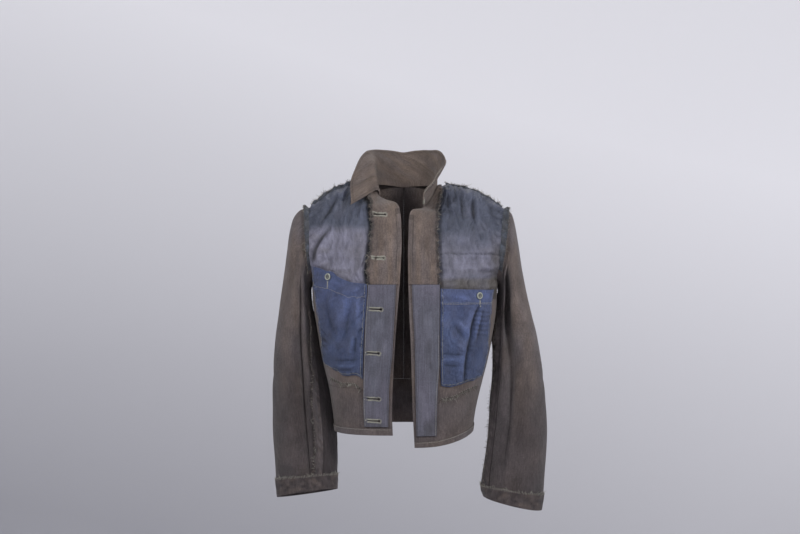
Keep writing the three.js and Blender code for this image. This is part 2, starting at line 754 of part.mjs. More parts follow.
// The armhole's seam allowance, turned towards the sleeve and standing off it. from and to are sleeve
// rings, reach the angle to which it goes round on both sides, and clear its height at the seam.
const ARMHOLE_EDGE = { from: 0.15, to: 0.75, lift: 6, reach: 122, clear: 0.8, taper: 80 };
const ALLOWANCE = 2; // thickness of a seam's two raw edges
for (const { name, side } of SIDES) {
  const pointAt = (s, t) => {
    const degrees = mix(ARMHOLE_EDGE.reach, -ARMHOLE_EDGE.reach, s);
    const angle = radians(degrees);
    const out = new THREE.Vector3(0, -Math.sin(angle), Math.cos(angle));
    const fade = radians((degrees * ARMHOLE_EDGE.taper) / ARMHOLE_EDGE.reach);
    const rise = ARMHOLE_EDGE.lift * Math.cos(fade) ** 0.5 * t;
    const place = sleevePoint(name, mix(ARMHOLE_EDGE.from, ARMHOLE_EDGE.to, t), degrees);
    return place.addScaledVector(out, ARMHOLE_EDGE.clear + rise);
  };
  const surface = framed(pointAt, new THREE.Vector3(side * 200, 0, -120));
  const held = { hold: awayFromBody(side) };
  add(`armhole_allowance_${name}`, wall(surface, steps(18), [0, 1], 0, ALLOWANCE, held), wool);
}

// The shoulder seam's allowance, standing on the ridge between front and back: its foot and its free
// edge, which is higher on the right, as distances from the ridge, and the stretch of the ridge.
const SHOULDER_EDGE = { right: 11, left: 7 };
const SHOULDER_FOOT = { y: 1.1, z: 1.5 };
const SHOULDER_LEAN = 4;
const SHOULDER_STRETCH = { from: 0.09, to: 0.93 };
for (const { name, side } of SIDES) {
  const pointAt = (s, t) => {
    const ridge = bodyPoint(name, FRONT, 0, mix(SHOULDER_STRETCH.from, SHOULDER_STRETCH.to, s));
    const rise = mix(SHOULDER_FOOT.z, SHOULDER_EDGE[name], t);
    return new THREE.Vector3(ridge.x, mix(SHOULDER_FOOT.y, SHOULDER_LEAN, t), ridge.z + rise);
  };
  const surface = framed(pointAt, new THREE.Vector3(side * 120, 20, 20));
  add(`shoulder_allowance_${name}`, wall(surface, steps(10), [0, 1], 0, ALLOWANCE), wool);
}

// The collar: one band round the neck, upright at the back, turned out over the right front.
const COLLAR_WOOL = 2.4;
const COLLAR_GAP = 1.4;
const ROLL = 18; // length over which the section turns from stand to leaf
{
  const stations = COLLAR.map(({ side, face, v, ...section }) => {
    const { x, y, z } = bodyPoint(side === RIGHT ? "right" : "left", face, v, 0);
    return { x, y, z, ...section };
  });
  const last = COLLAR.length - 1;
  const pointAt = (s, t) => {
    const at = (key, k) => column(stations, key, THREE.MathUtils.clamp(k, 0, last));
    const k = s * last;
    const stride = 0.05;
    const out = new THREE.Vector3(
      at("y", k - stride) - at("y", k + stride),
      at("x", k + stride) - at("x", k - stride),
      0,
    ).normalize();
    const point = new THREE.Vector3(at("x", k), at("y", k), at("z", k));
    point.addScaledVector(out, -COLLAR_GAP);
    const swing = radians(at("swing", k)) * (k > last / 2 ? -1 : 1);
    out.applyAxisAngle(new THREE.Vector3(0, 0, 1), swing);
    const stand = at("stand", k);
    const total = (stand + at("leaf", k)) * t;
    const pieces = 24;
    for (let i = 0; i < pieces; i++) {
      const gone = (total * (i + 0.5)) / pieces;
      const rolled = THREE.MathUtils.smoothstep(gone, stand - ROLL / 2, stand + ROLL / 2);
      const angle = radians(at("turn", k) * rolled);
      point.addScaledVector(out, (Math.sin(angle) * total) / pieces);
      point.z += (Math.cos(angle) * total) / pieces;
    }
    return point;
  };
  const surface = framed(pointAt, new THREE.Vector3(0, 0, 40));
  add("collar", wall(surface, steps(34), steps(6), -COLLAR_WOOL, COLLAR_WOOL), wool);
}

export default jacket;
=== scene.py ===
import json
import math

import bpy
import numpy as np
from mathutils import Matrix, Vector
from mathutils.bvhtree import BVHTree

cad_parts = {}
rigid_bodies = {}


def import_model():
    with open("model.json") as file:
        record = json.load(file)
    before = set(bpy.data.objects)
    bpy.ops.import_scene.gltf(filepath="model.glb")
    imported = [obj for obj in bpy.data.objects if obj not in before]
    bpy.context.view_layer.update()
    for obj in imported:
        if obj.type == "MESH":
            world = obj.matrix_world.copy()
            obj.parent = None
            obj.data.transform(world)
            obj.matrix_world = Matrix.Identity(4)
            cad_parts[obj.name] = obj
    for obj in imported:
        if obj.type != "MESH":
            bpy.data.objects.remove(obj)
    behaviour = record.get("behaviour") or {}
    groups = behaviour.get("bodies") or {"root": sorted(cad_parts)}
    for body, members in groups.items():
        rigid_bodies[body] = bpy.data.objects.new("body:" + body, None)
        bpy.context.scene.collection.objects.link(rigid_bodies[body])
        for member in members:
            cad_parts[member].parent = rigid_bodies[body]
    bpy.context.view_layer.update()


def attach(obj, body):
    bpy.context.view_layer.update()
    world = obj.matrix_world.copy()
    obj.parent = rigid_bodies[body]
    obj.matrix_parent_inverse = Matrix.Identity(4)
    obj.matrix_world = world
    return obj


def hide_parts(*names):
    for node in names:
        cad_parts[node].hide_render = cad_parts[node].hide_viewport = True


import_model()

MM = 0.001

# ---------------------------------------------------------------- camera
# It stands level, straight in front of the chest, with a normal lens.
camera = bpy.data.objects.new("camera", bpy.data.cameras.new("camera"))
camera.data.lens = 50.49
camera.location = (-0.008, -2.3, -0.158)
camera.rotation_euler = (math.pi / 2, 0, 0)
bpy.context.scene.collection.objects.link(camera)
bpy.context.scene.camera = camera
bpy.context.scene.view_settings.view_transform = "Standard"


# ---------------------------------------------------------------- studio
# A round pale cyclorama: a plain floor that turns up into a plain wall in one curve, so that it
# looks the same from all sides. It is matt painted plaster.
def linear(colour):
    """sRGB hex to linear RGBA: c / 12.92 below 0.04045, and ((c + 0.055) / 1.055) ^ 2.4 above."""
    channels = np.array([int(colour[i : i + 2], 16) for i in (1, 3, 5)]) / 255
    low, high = channels / 12.92, ((channels + 0.055) / 1.055) ** 2.4
    return (*np.where(channels < 0.04045, low, high), 1.0)


def node(tree, kind, inputs=(), **settings):
    """Adds a node. Settings are its properties, and inputs its sockets: values or other nodes."""
    made = tree.nodes.new("ShaderNode" + kind)
    for name, value in settings.items():
        setattr(made, name, value)
    for name, value in dict(inputs).items():
        if isinstance(value, bpy.types.Node):
            value = value.outputs[0]
        if isinstance(value, bpy.types.NodeSocket):
            tree.links.new(value, made.inputs[name])
        else:
            made.inputs[name].default_value = value
    return made


def new_material(name):
    """A node material, its tree and its Principled shader."""
    material = bpy.data.materials.new(name)
    material.use_nodes = True
    return material, material.node_tree, material.node_tree.nodes["Principled BSDF"]


def cells(index, ring=False):
    """The four corners of every cell of a grid of point numbers."""
    if ring:
        index = np.concatenate([index, index[:, :1]], axis=1)
    return np.stack([index[:-1, :-1], index[:-1, 1:], index[1:, 1:], index[1:, :-1]], axis=-1)


def add_mesh(name, points, faces, material, uv=None, **attributes):
    """A smooth mesh of points in millimetres and four-cornered faces, its object at the origin."""
    mesh = bpy.data.meshes.new(name)
    mesh.vertices.add(len(points))
    mesh.vertices.foreach_set("co", (points * MM).ravel())
    mesh.loops.add(faces.size)
    mesh.loops.foreach_set("vertex_index", faces.ravel())
    mesh.polygons.add(len(faces))
    mesh.polygons.foreach_set("loop_start", np.arange(0, faces.size, 4))
    if uv is not None:
        mesh.uv_layers.new(name="UVMap").data.foreach_set("uv", (uv * MM)[faces.ravel()].ravel())
    for key, values in attributes.items():
        mesh.attributes.new(key, "FLOAT", "POINT").data.foreach_set("value", values)
    mesh.update(calc_edges=True)
    mesh.validate()
    mesh.shade_smooth()
    mesh.materials.append(material)
    made = bpy.data.objects.new(name, mesh)
    bpy.context.scene.collection.objects.link(made)
    return made


STUDIO = {"floor": -1450, "wall": 3000, "turn": 900, "top": 3200, "sides": 96}
plaster, tree, shader = new_material("matt_painted_plaster")
shader.inputs["Base Color"].default_value = linear("#b5b5bb")
shader.inputs["Roughness"].default_value = 0.95
# The wall glows a little, less towards the floor and the left, as if a lamp washed it.
place = node(tree, "SeparateXYZ", {0: node(tree, "TexCoord").outputs["Object"]})
aside = node(tree, "Math", {0: place.outputs["X"], 1: 0.3, 2: place.outputs["Z"]}, operation="MULTIPLY_ADD")
wash = node(tree, "MapRange", {0: aside, 1: -1.6, 2: 0.7, 3: 0.0, 4: 0.5})
shader.inputs["Emission Color"].default_value = linear("#f0eff4")
tree.links.new(wash.outputs[0], shader.inputs["Emission Strength"])
swing = np.linspace(0, math.pi / 2, 16)
flat = STUDIO["wall"] - STUDIO["turn"]
radius = np.concatenate([[1, flat / 2], flat + STUDIO["turn"] * np.sin(swing), [STUDIO["wall"]]])
height = np.concatenate([[0, 0], STUDIO["turn"] * (1 - np.cos(swing)), [STUDIO["top"]]])
angle = np.linspace(0, 2 * math.pi, STUDIO["sides"], endpoint=False)
ground = np.stack(
    [
        radius[:, None] * np.cos(angle),
        radius[:, None] * np.sin(angle),
        np.repeat(height[:, None] + STUDIO["floor"], STUDIO["sides"], axis=1),
    ],
    axis=-1,
)
index = np.arange(ground[..., 0].size).reshape(ground.shape[:2])
add_mesh("cyclorama", ground.reshape(-1, 3), cells(index, True).reshape(-1, 4), plaster)

# Two soft boxes in front, left and right of the camera, and a weak one above and behind.
for place, width, power in (
    ((-1.55, -1.6, 0.95), 0.6, 29),
    ((1.65, -1.6, 0.9), 0.6, 31),
    ((0.0, 1.4, 1.5), 1.0, 9),
):
    lamp = bpy.data.objects.new("soft_box", bpy.data.lights.new("soft_box", "AREA"))
    lamp.data.size = width
    lamp.data.energy = power
    lamp.location = place
    lamp.rotation_euler = (Vector((0, 0, -0.25)) - Vector(place)).to_track_quat("-Z", "Y").to_euler()
    bpy.context.scene.collection.objects.link(lamp)
world = bpy.data.worlds.new("studio_air")
world.use_nodes = True
world.node_tree.nodes["Background"].inputs["Color"].default_value = linear("#dfe1e6")
world.node_tree.nodes["Background"].inputs["Strength"].default_value = 0.25
bpy.context.scene.world = world


# ---------------------------------------------------------------- fronts and backs
# The shell: two fronts and two halves of a back with a centre-back seam, cut from fulled wool serge
# 2 mm thick. Each is a stack of rows from its inner end (shoulder, neckline, front edge or centre
# back) round to its outer end (armhole and side seam), where the next piece is sewn on.
SIDES = {"right": -1, "left": 1}
FRONT, BACK = -1, 1
WOOL = 2.0
SEAM = 0.03  # half the gap between two pieces that are sewn together
SECTION_POWER = 2.6  # of the body's cross section: 2 is an ellipse, more is squarer
EASE = 1.25
WAIST_ROW, LAST_ROW = 14, 16
ROW = {"body": 40, "waistband": 45}  # height from one row to the next, about
ARMHOLE = {"middle": -119.5, "half height": 76.5, FRONT: 58, BACK: 55}
ARMHOLE_X = {  # distance from the middle at the top and the bottom, and how far it is scooped in
    "right": {"top": 193, "bottom": 187, "scoop": 3},
    "left": {"top": 204, "bottom": 190, "scoop": 7},
}
# Outer ends of rows 0 to 10: the armhole's angle, the share of a quarter turn that the row makes,
# and how late it falls.
OUTER = [
    (0.5, 0.5, 2.2), (10, 0.5, 2.1), (22, 0.5, 2), (36, 0.52, 1.9), (50, 0.55, 1.8), (66, 0.6, 1.7),
    (83, 0.65, 1.5), (102, 0.7, 1.3), (122, 0.78, 1.1), (146, 0.88, 1), (179.5, 1, 1),
]
# Outer ends of rows 11 to 16, down the side seam: distance from the middle, height, and bow.
SIDE_SEAM = {
    "right": [
        (183, -247, 1), (176, -294, 1), (166.5, -345, 1), (154.5, -395, 1), (147, -441, 1),
        (141, -488, 1),
    ],
    "left": [
        (188, -247, 1), (181, -294, 1), (171, -345, 1), (157.5, -398, 1), (147, -443, 1.8),
        (140, -488, 2.4),
    ],
}
# Inner ends of rows 0 to 16: distance from the middle, distance in front or behind, and height.
FRONT_EDGE = {
    "right": [
        (61, 0.6, 13), (60, 14, 9.5), (57, 29, 0), (50, 47, -17), (35, 64, -27), (14, 81, -35),
        (7.5, 94, -53), (5, 108, -88), (5, 120, -125), (7, 127, -165), (9.5, 128.5, -203),
        (13.5, 127, -250), (17, 123, -297), (20, 116, -347), (22.5, 109, -399), (23.5, 105, -443),
        (22, 104, -488),
    ],
    "left": [
        (70, 0.6, 7), (68.5, 14, 4.5), (64, 29, -5), (54, 47, -24), (37, 65, -43), (15, 81, -48.5),
        (9.5, 93, -65), (8.5, 107, -93), (7.5, 120, -127), (7.5, 127, -166), (8.5, 128.5, -204),
        (10, 127, -252), (12.5, 123, -303), (14.5, 116, -366), (16.5, 109, -436), (18.5, 105, -475),
        (20.5, 104, -512),
    ],
}
BACK_EDGE = [
    (61, 0.6, 13), (59, 14, 14), (54, 29, 15), (43, 46, 15.5), (28, 58, 14.5), (12, 65, 13),
    (0, 67, 11), (0, 82, -25), (0, 95, -75), (0, 102, -130), (0, 105, -188), (0, 104, -243),
    (0, 101, -293), (0, 96, -345), (0, 91, -396), (0, 89, -442), (0, 90, -488),
]
LEFT_NECK = {"spread": 70 / 61, "drop": (6, 5, 3.5, 2, 1)}


def smooth(x, low=0.0, high=1.0):
    """A smooth step from 0 at low to 1 at high: 3t^2 - 2t^3."""
    t = np.clip((x - low) / (high - low), 0, 1)
    return t * t * (3 - 2 * t)


def mix(a, b, share):
    """The value that is share of the way from a to b."""
    return a + (b - a) * share


def read(rows, at):
    """A table read at fractional rows: a Catmull-Rom curve through each of its columns."""
    rows, at = np.asarray(rows, float), np.asarray(at, float)
    padded = np.concatenate([2 * rows[:1] - rows[1:2], rows, 2 * rows[-1:] - rows[-2:-1]])
    k = np.clip(np.floor(at).astype(int), 0, len(rows) - 2)
    t = (at - k)[..., None]
    a, b, c, d = (padded[k + i] for i in range(4))
    bend = (2 * a - 5 * b + 4 * c - d) * t + (3 * b - a - 3 * c + d) * t * t
    return 0.5 * (2 * b + (c - a + bend) * t)


def armhole(side, face, degrees):
    """The armhole, an upright oval: distance from the middle, in front or behind, and height."""
    size, turn = ARMHOLE_X[side], np.radians(degrees)
    x = mix(size["bottom"], size["top"], (1 + np.cos(turn)) / 2) - size["scoop"] * np.sin(turn)
    z = ARMHOLE["middle"] + ARMHOLE["half height"] * np.cos(turn)
    return np.stack([x, np.where(face == FRONT, ARMHOLE[FRONT], ARMHOLE[BACK]) * np.sin(turn), z], -1)


def body_rows(side, face):
    """Each row's inner end, outer end, turn and bow."""
    edge = np.array(FRONT_EDGE[side] if face == FRONT else BACK_EDGE, float)
    if face == BACK and side == "left":
        edge[:, 0] *= LEFT_NECK["spread"]
        edge[: len(LEFT_NECK["drop"]), 2] -= LEFT_NECK["drop"]
    arm, turn, bow = np.array(OUTER).T
    seam = np.array(SIDE_SEAM[side], float)
    upper = np.column_stack([armhole(side, face, arm), turn, bow])
    lower = np.column_stack([seam[:, 0], seam[:, 0] * 0, seam[:, 1], seam[:, 0] * 0 + 1, seam[:, 2]])
    outer = np.concatenate([upper, lower])
    outer[:, 1] = np.maximum(outer[:, 1], SEAM)
    return np.concatenate([edge, outer], axis=1)


BODY = {(side, face): body_rows(side, face) for side in SIDES for face in (FRONT, BACK)}


def body_at(side, face, v, across):
    """A point of the body: v is the row, and across the share of its width. The row's plan is part of
    a superellipse: with sin(swing) = across^(power/2) sin(quarter), it comes inwards as
    (1 - cos(swing)^(2/power)) / (1 - cos(quarter)^(2/power)), and it falls as across^bow."""
    x, depth, z, out_x, out_depth, out_z, turn, bow = np.moveaxis(read(BODY[side, face], v), -1, 0)
    across = np.clip(across, 0, 1)
    quarter = math.pi / 2 * np.minimum(turn, 1)
    sine = np.minimum(across ** (SECTION_POWER / 2) * np.sin(quarter), 1)
    far = np.maximum(np.cos(quarter), 0) ** (2 / SECTION_POWER)
    inward = (1 - np.sqrt(1 - sine**2) ** (2 / SECTION_POWER)) / (1 - far)
    y = np.maximum(mix(depth, out_depth, inward), SEAM)
    return np.stack([SIDES[side] * mix(x, out_x, across), face * y, mix(z, out_z, across**bow)], -1)


def share_across(side, face, v, u):
    """Even shares u along a row's curve as shares of its width."""
    quarter = math.pi / 2 * np.minimum(read(BODY[side, face], v)[..., 6], 1)
    eased = u**EASE / (u**EASE + (1 - u) ** EASE)
    return (np.sin(quarter * eased) / np.sin(quarter)) ** (2 / SECTION_POWER)


def share_at(side, v, x):
    """The share of a front row's width at distance x from the middle."""
    rows = read(BODY[side, FRONT], v)
    return np.clip((x - rows[..., 0]) / (rows[..., 3] - rows[..., 0]), 0, 1)


def falls_to(height, z):
    """The row at which height(row), which falls as the row grows, passes z: found by halving."""
    low, high = np.zeros(np.shape(z)), np.full(np.shape(z), float(LAST_ROW))
    for _ in range(26):
        middle = (low + high) / 2
        above = height(middle) > z
        low, high = np.where(above, middle, low), np.where(above, high, middle)
    return (low + high) / 2


def row_at(side, x, z):
    """The row at which a front, at distance x from the middle, passes height z."""
    return falls_to(lambda v: body_at(side, FRONT, v, share_at(side, v, x))[..., 2], z)


def folds(a, b, rows):
    """The sum of soft folds. Each row is a line from (a0, b0) to (a1, b1) that bows sideways, with
    its half width and height: height exp(-(distance / width)^2), fading at both ends. A trough is
    0.7 times as wide and sharper in its middle, with 1.3 for the power."""
    total = np.zeros(np.broadcast(a, b).shape)
    for a0, b0, a1, b1, bow, width, height in rows:
        length = math.hypot(a1 - a0, b1 - b0)
        t = ((a - a0) * (a1 - a0) + (b - b0) * (b1 - b0)) / length**2
        off = ((a - a0) * (b1 - b0) - (b - b0) * (a1 - a0)) / length - 4 * bow * t * (1 - t)
        spread, power = (width, 2) if height > 0 else (0.7 * width, 1.3)
        profile = np.exp(-(np.abs(off / spread) ** power))
        total += height * profile / (1 + np.abs((2 * t - 1) / 0.85) ** 6)
    return total


def ripple(a, b, size_a, size_b, seed):
    """Value noise from -1 to 1: random heights on a lattice, joined by smooth steps."""
    lattice = np.random.default_rng(seed).uniform(-1, 1, (64, 64))
    a, b = a / size_a, b / size_b
    i, j = np.floor(a).astype(int), np.floor(b).astype(int)
    s, t = smooth(a - i), smooth(b - j)
    corner = [lattice[(i + m) % 64, (j + n) % 64] for m, n in ((0, 0), (1, 0), (0, 1), (1, 1))]
    return mix(mix(corner[0], corner[1], s), mix(corner[2], corner[3], s), t)


def crumple(a, b, size_a, size_b, seed):
    """Crushed cloth: sharp ridges where value noise crosses zero, as 0.5 - 1.6 |noise|."""
    return 0.5 - 1.6 * np.abs(ripple(a, b, size_a, size_b, seed))


# Soft folds shared by all the layers of a front: distance from the middle and height of both ends,
# bow, half width and height.
FRONT_FOLDS = {
    "right": [
        (150, -215, 120, -330, 6, 14, 2.0), (60, -240, 95, -370, 0, 16, 1.6),
        (40, -120, 62, -190, 0, 12, 1.2), (120, -392, 60, -470, 4, 12, 1.4),
        (100, -400, 130, -470, 0, 10, -1.2), (135, -385, 150, -470, 0, 8, 1.2),
    ],
    "left": [
        (150, -215, 130, -330, -4, 14, 2), (62, -240, 90, -380, 0, 16, -1.4),
        (30, -110, 50, -180, 0, 12, 1.2), (60, -410, 92, -480, 0, 10, 1.4),
        (118, -405, 100, -480, 0, 10, 1.3), (140, -405, 122, -460, 0, 8, -1.0),
    ],
}


def front_drape(side, v, across, x, z):
    """Height of the folds that a front's layers share, still at its seams."""
    free = smooth(1 - across, 0, 0.14) * smooth(v, 0, 1.2) * smooth(LAST_ROW - v, -0.2, 0.5)
    free = free * mix(0.35, 1, smooth(np.abs(v - WAIST_ROW), 0, 0.5))
    return (folds(x, z, FRONT_FOLDS[side]) + 1.0 * ripple(x, z, 34, 70, 11 + SIDES[side])) * free


def front_at(side, x, z, lift=0.0):
    """Points on a draped front at distance x from the middle and height z, moved out by lift. The
    normal is the cross product of half-millimetre steps across and down."""
    step = 0.5
    x, z = np.broadcast_arrays(np.asarray(x, float), np.asarray(z, float))

    def place(x, z):
        v = row_at(side, x, z)
        return v, share_at(side, v, x)

    def at(x, z):
        return body_at(side, FRONT, *place(x, z))

    normal = np.cross(at(x + step, z) - at(x - step, z), at(x, z + step) - at(x, z - step))
    normal *= SIDES[side] / np.linalg.norm(normal, axis=-1, keepdims=True)
    v, across = place(x, z)
    lift = np.asarray(lift, float) + front_drape(side, v, across, x, z)
    return body_at(side, FRONT, v, across) + normal * lift[..., None]


# The back has more room, so it drapes from the shoulder blades and blouses over the waistband.
BACK_FOLDS = {
    "right": [
        (60, -70, 40, -330, 10, 22, 3.2), (115, -110, 95, -340, -8, 18, -2.6),
        (150, -190, 120, -345, 4, 14, 2.8), (20, -350, 120, -362, 5, 12, 3.4),
        (175, -215, 110, -260, 6, 8, -2.2), (30, -200, 22, -380, 0, 12, -1.6),
        (90, -380, 70, -480, 0, 10, 1.2), (30, -400, 40, -480, 0, 9, -1.0),
    ],
    "left": [
        (55, -90, 70, -320, -8, 20, 2.8), (100, -120, 118, -330, 6, 18, -2.8),
        (148, -200, 135, -350, 0, 13, 2.4), (30, -345, 130, -366, -4, 12, 3.2),
        (178, -210, 120, -250, -5, 8, -2.4), (26, -150, 34, -360, 0, 13, 1.8),
        (95, -385, 110, -470, 0, 10, -1.2), (45, -400, 40, -480, 0, 9, 1.0),
    ],
}


def back_drape(side, v, across, x, z):
    """Height of a back half's folds, still at its seams and under the collar."""
    free = smooth(1 - across, 0, 0.12) * smooth(across, 0, 0.06) * smooth(v, 1.5, 7)
    free = free * mix(0.2, 1, smooth(np.abs(v - WAIST_ROW), 0, 0.7)) * smooth(LAST_ROW - v, -0.2, 0.5)
    return (3.2 * folds(x, z, BACK_FOLDS[side]) + 1.6 * ripple(x, z, 40, 80, 31 + SIDES[side])) * free


def lengths(points, axis):
    """How far along an axis of a grid each point lies, in millimetres."""
    steps = np.linalg.norm(np.diff(points, axis=axis), axis=-1)
    start = np.zeros_like(np.take(points[..., 0], [0], axis=axis))
    return np.concatenate([start, np.cumsum(steps, axis=axis)], axis=axis)


def normals(points, outward, ring=False):
    """Unit normals of a grid, the cross product of its two directions, on the outward side. The
    second value is 1 if the grid's own faces point that way, and -1 if not."""
    if ring:
        points = np.concatenate([points[:, -1:], points, points[:, :1]], axis=1)
    turned = np.cross(np.gradient(points, axis=1), np.gradient(points, axis=0))
    if ring:
        turned = turned[:, 1:-1]
    hand = np.sign((turned * outward).sum())
    return hand * turned / (np.linalg.norm(turned, axis=-1, keepdims=True) + 1e-12), hand


def raised(points, outward, height, ring=False):
    """A grid moved out along its normals."""
    return points + normals(points, outward, ring)[0] * np.asarray(height)[..., None]


BODY_CORE = (60.0, 0, -260)  # a place inside the left half of the body, and mirrored, the right


def away(side, points, core):
    """Ways out from a core, which is given for the left side: points - core."""
    return points - np.array([core[0] * SIDES[side], *core[1:]])


def lines(count, length, fine=()):
    """Shares from 0 to 1 for a grid: even, with extra lines in the rounded edge at each end, and
    closer together in each (from, to, step) of fine."""
    edge = 1.0 / length * np.array([0, 0.15, 0.5, 1])
    inner = np.linspace(edge[-1], 1 - edge[-1], count)[1:-1]
    for low, high, step in fine:
        inner = inner[(inner < low - step / 2) | (inner > high)]
        inner = np.concatenate([inner, np.arange(low, high, step)])
    return np.concatenate([edge, np.sort(inner), 1 - edge[::-1]])


EDGES = {}  # each sheet's first and last row and column, with the ways out and up, for its stitching


def sheet(name, middle, outward, thickness, material, ring=False, cut=None, **attributes):
    """A thin closed shell on a grid. Its faces lie half the thickness either side of the grid and
    meet at the edges in a half round: at distance d from an edge, less than the radius r, the half
    thickness is sqrt(r^2 - (r - d)^2). cut marks the cells left open, as in a buttonhole."""
    shape = middle.shape[:2]
    normal, hand = normals(middle, outward, ring)
    across, down = lengths(middle, 1), lengths(middle, 0)
    radius = thickness / 2
    near = np.minimum(down, down[-1:] - down)
    border = np.zeros(shape, bool)
    border[[0, -1]] = True
    if not ring:
        near = np.minimum(near, np.minimum(across, across[:, -1:] - across))
        border[:, [0, -1]] = True
    half = radius * np.sqrt(1 - (1 - np.clip(near / radius, 0, 1)) ** 2)
    outer, inner = (middle + sign * normal * half[..., None] for sign in (1, -1))
    front = np.arange(border.size).reshape(shape)
    back = front.copy()
    back[~border] = border.size + np.arange((~border).sum())
    faces = [cells(front, ring), cells(back, ring)[..., ::-1]]
    if cut is not None:
        keep = ~cut
        faces = [part[keep] for part in faces]
        for a, b, here, there in (
            (keep[:-1], keep[1:], np.s_[1:-1, :-1], np.s_[1:-1, 1:]),
            (keep[:, 1:], keep[:, :-1], np.s_[:-1, 1:-1], np.s_[1:, 1:-1]),
        ):
            rim = np.stack([front[here], front[there], back[there], back[here]], -1)
            faces += [rim[a & ~b], rim[~a & b][:, ::-1]]
    faces = np.concatenate([part.reshape(-1, 4) for part in faces])
    if hand < 0:
        faces = faces[:, ::-1]
    used, faces = np.unique(faces, return_inverse=True)
    faces = faces.reshape(-1, 4)

    def both(values):
        return np.concatenate([values.reshape(-1, *values.shape[2:]), values[~border]])[used]

    points = np.concatenate([outer.reshape(-1, 3), inner[~border]])[used]
    spread = {key: both(np.broadcast_to(values, shape)) for key, values in attributes.items()}
    uv = both(np.stack([across, down], axis=-1))
    EDGES[name] = [
        (line, out / (np.linalg.norm(out, axis=-1, keepdims=True) + 1e-9), up)
        for line, out, up in (
            (middle[0], middle[0] - middle[3], normal[1]),
            (middle[-1], middle[-1] - middle[-4], normal[-2]),
            (middle[:, 0], middle[:, 0] - middle[:, 3], normal[:, 1]),
            (middle[:, -1], middle[:, -1] - middle[:, -4], normal[:, -2]),
        )
    ]
    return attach(add_mesh(name, points, faces, material, uv, **spread), "root")


def woven(name, warm, cool, stain, slub, rib, roughness, sheen, mottle, fade, depth, crush):
    """A cloth's material. Its colour goes from warm to cool with the attribute tone, and to stain
    with the attribute stain, which carries stains and, on some pieces, painted shade. Slubs of slub
    (across, along) mm and patches make it uneven by mottle, and the attribute ridge makes it paler
    and darker by fade: painted light on the tops of folds, painted shade in their troughs, creases
    and gaps, and some wear. Ribs rib mm apart and the slubs raise it by depth mm. Its fine creases
    are sharp lines where noise crosses its middle, crush mm for a whole step."""
    material, tree, shader = new_material(name)
    place = node(tree, "TexCoord")
    tone, stained, ridge = (
        node(tree, "Attribute", attribute_name=key).outputs["Fac"] for key in ("tone", "stain", "ridge")
    )
    size = (1000 / slub[0], 1000 / slub[1], 1)
    yarn = node(tree, "Mapping", {"Vector": place.outputs["UV"], "Scale": size})
    slubs = node(tree, "TexNoise", {"Vector": yarn, "Scale": 1, "Detail": 3, "Roughness": 0.6})
    patch_size = {"Vector": place.outputs["Object"], "Scale": 28, "Detail": 4, "Roughness": 0.6}
    patches = node(tree, "TexNoise", patch_size)
    speck_size = {"Vector": place.outputs["Object"], "Scale": 420, "Detail": 2, "Roughness": 0.7}
    specks = node(tree, "TexNoise", speck_size)
    wave = {"Vector": place.outputs["UV"], "Scale": 628 / rib, "Distortion": 0.6, "Detail": 1}
    ribs = node(tree, "TexWave", wave, bands_direction="DIAGONAL")
    near = {0: tone, 6: linear(warm), 7: linear(cool)}
    base = node(tree, "Mix", near, data_type="RGBA")
    dirt = node(tree, "Mix", {0: stained, 6: base.outputs[2], 7: linear(stain)}, data_type="RGBA")
    # The ridge attribute paints light and shade of folds, creases and gaps into the colour.
    value = node(tree, "Math", {0: ridge, 1: fade, 2: 1.0}, operation="MULTIPLY_ADD")
    for source, share in ((slubs, mottle), (patches, mottle * 0.8), (specks, mottle)):
        span = {0: source.outputs[0], 1: 0.32, 2: 0.68, 3: 1 - share, 4: 1 + share}
        part = node(tree, "MapRange", span)
        value = node(tree, "Math", {0: value, 1: part}, operation="MULTIPLY")
    colour = node(tree, "HueSaturation", {"Value": value, "Color": dirt.outputs[2]})
    raised_yarn = node(tree, "Math", {0: slubs, 1: ribs}, operation="ADD")
    height = node(tree, "Math", {0: raised_yarn, 1: specks}, operation="ADD")
    crossed = {"Vector": place.outputs["Object"], "Scale": (42, 42, 24)}
    crush_size = {"Vector": node(tree, "Mapping", crossed), "Scale": 1, "Detail": 3, "Distortion": 0.9}
    away = node(tree, "Math", {0: node(tree, "TexNoise", crush_size), 1: 0.5}, operation="SUBTRACT")
    crease = node(tree, "Math", {0: away}, operation="ABSOLUTE")
    creased = node(tree, "Bump", {"Height": crease, "Strength": 0.9, "Distance": crush * MM})
    yarns = {"Height": height, "Strength": 0.7, "Distance": depth * MM, "Normal": creased}
    bump = node(tree, "Bump", yarns)
    tree.links.new(colour.outputs[0], shader.inputs["Base Color"])
    tree.links.new(bump.outputs[0], shader.inputs["Normal"])
    shader.inputs["Roughness"].default_value = roughness
    shader.inputs["Sheen Weight"].default_value = sheen
    shader.inputs["Sheen Roughness"].default_value = 0.5
    shader.inputs["Specular IOR Level"].default_value = 0.3
    return material


# Fulled wool serge: a diagonal rib blurred by a short nap, in mixed brown and grey fibres. It is
# quite matt, with a soft rim of light from the nap.
wool = woven(
    "fulled_wool_serge", "#6c5f57", "#5f5a5e", "#3a3435",
    slub=(3, 16), rib=3.0, roughness=0.93, sheen=0.12, mottle=0.2, fade=0.16, depth=0.8, crush=3,
)


def wear_and_shade(height, scale=2.0):
    """How far folds are paler on top, as painted light and some wear, and darker below, as painted shade:
    height over scale, from -2.6 to 1.
    """
    return np.clip(height / scale, -2.6, 1)


# Keyhole buttonholes in the right front, with the eye at the end nearest the front edge: distance
# from the middle and height of each one's middle.
BUTTONHOLES = [(47.5, -56), (49.5, -141), (55, -239.5), (60, -325), (60, -415.5), (59, -459)]
SLIT = {"half length": 11.5, "half width": 1.5, "eye": 2.7, "tilt": 0.05}


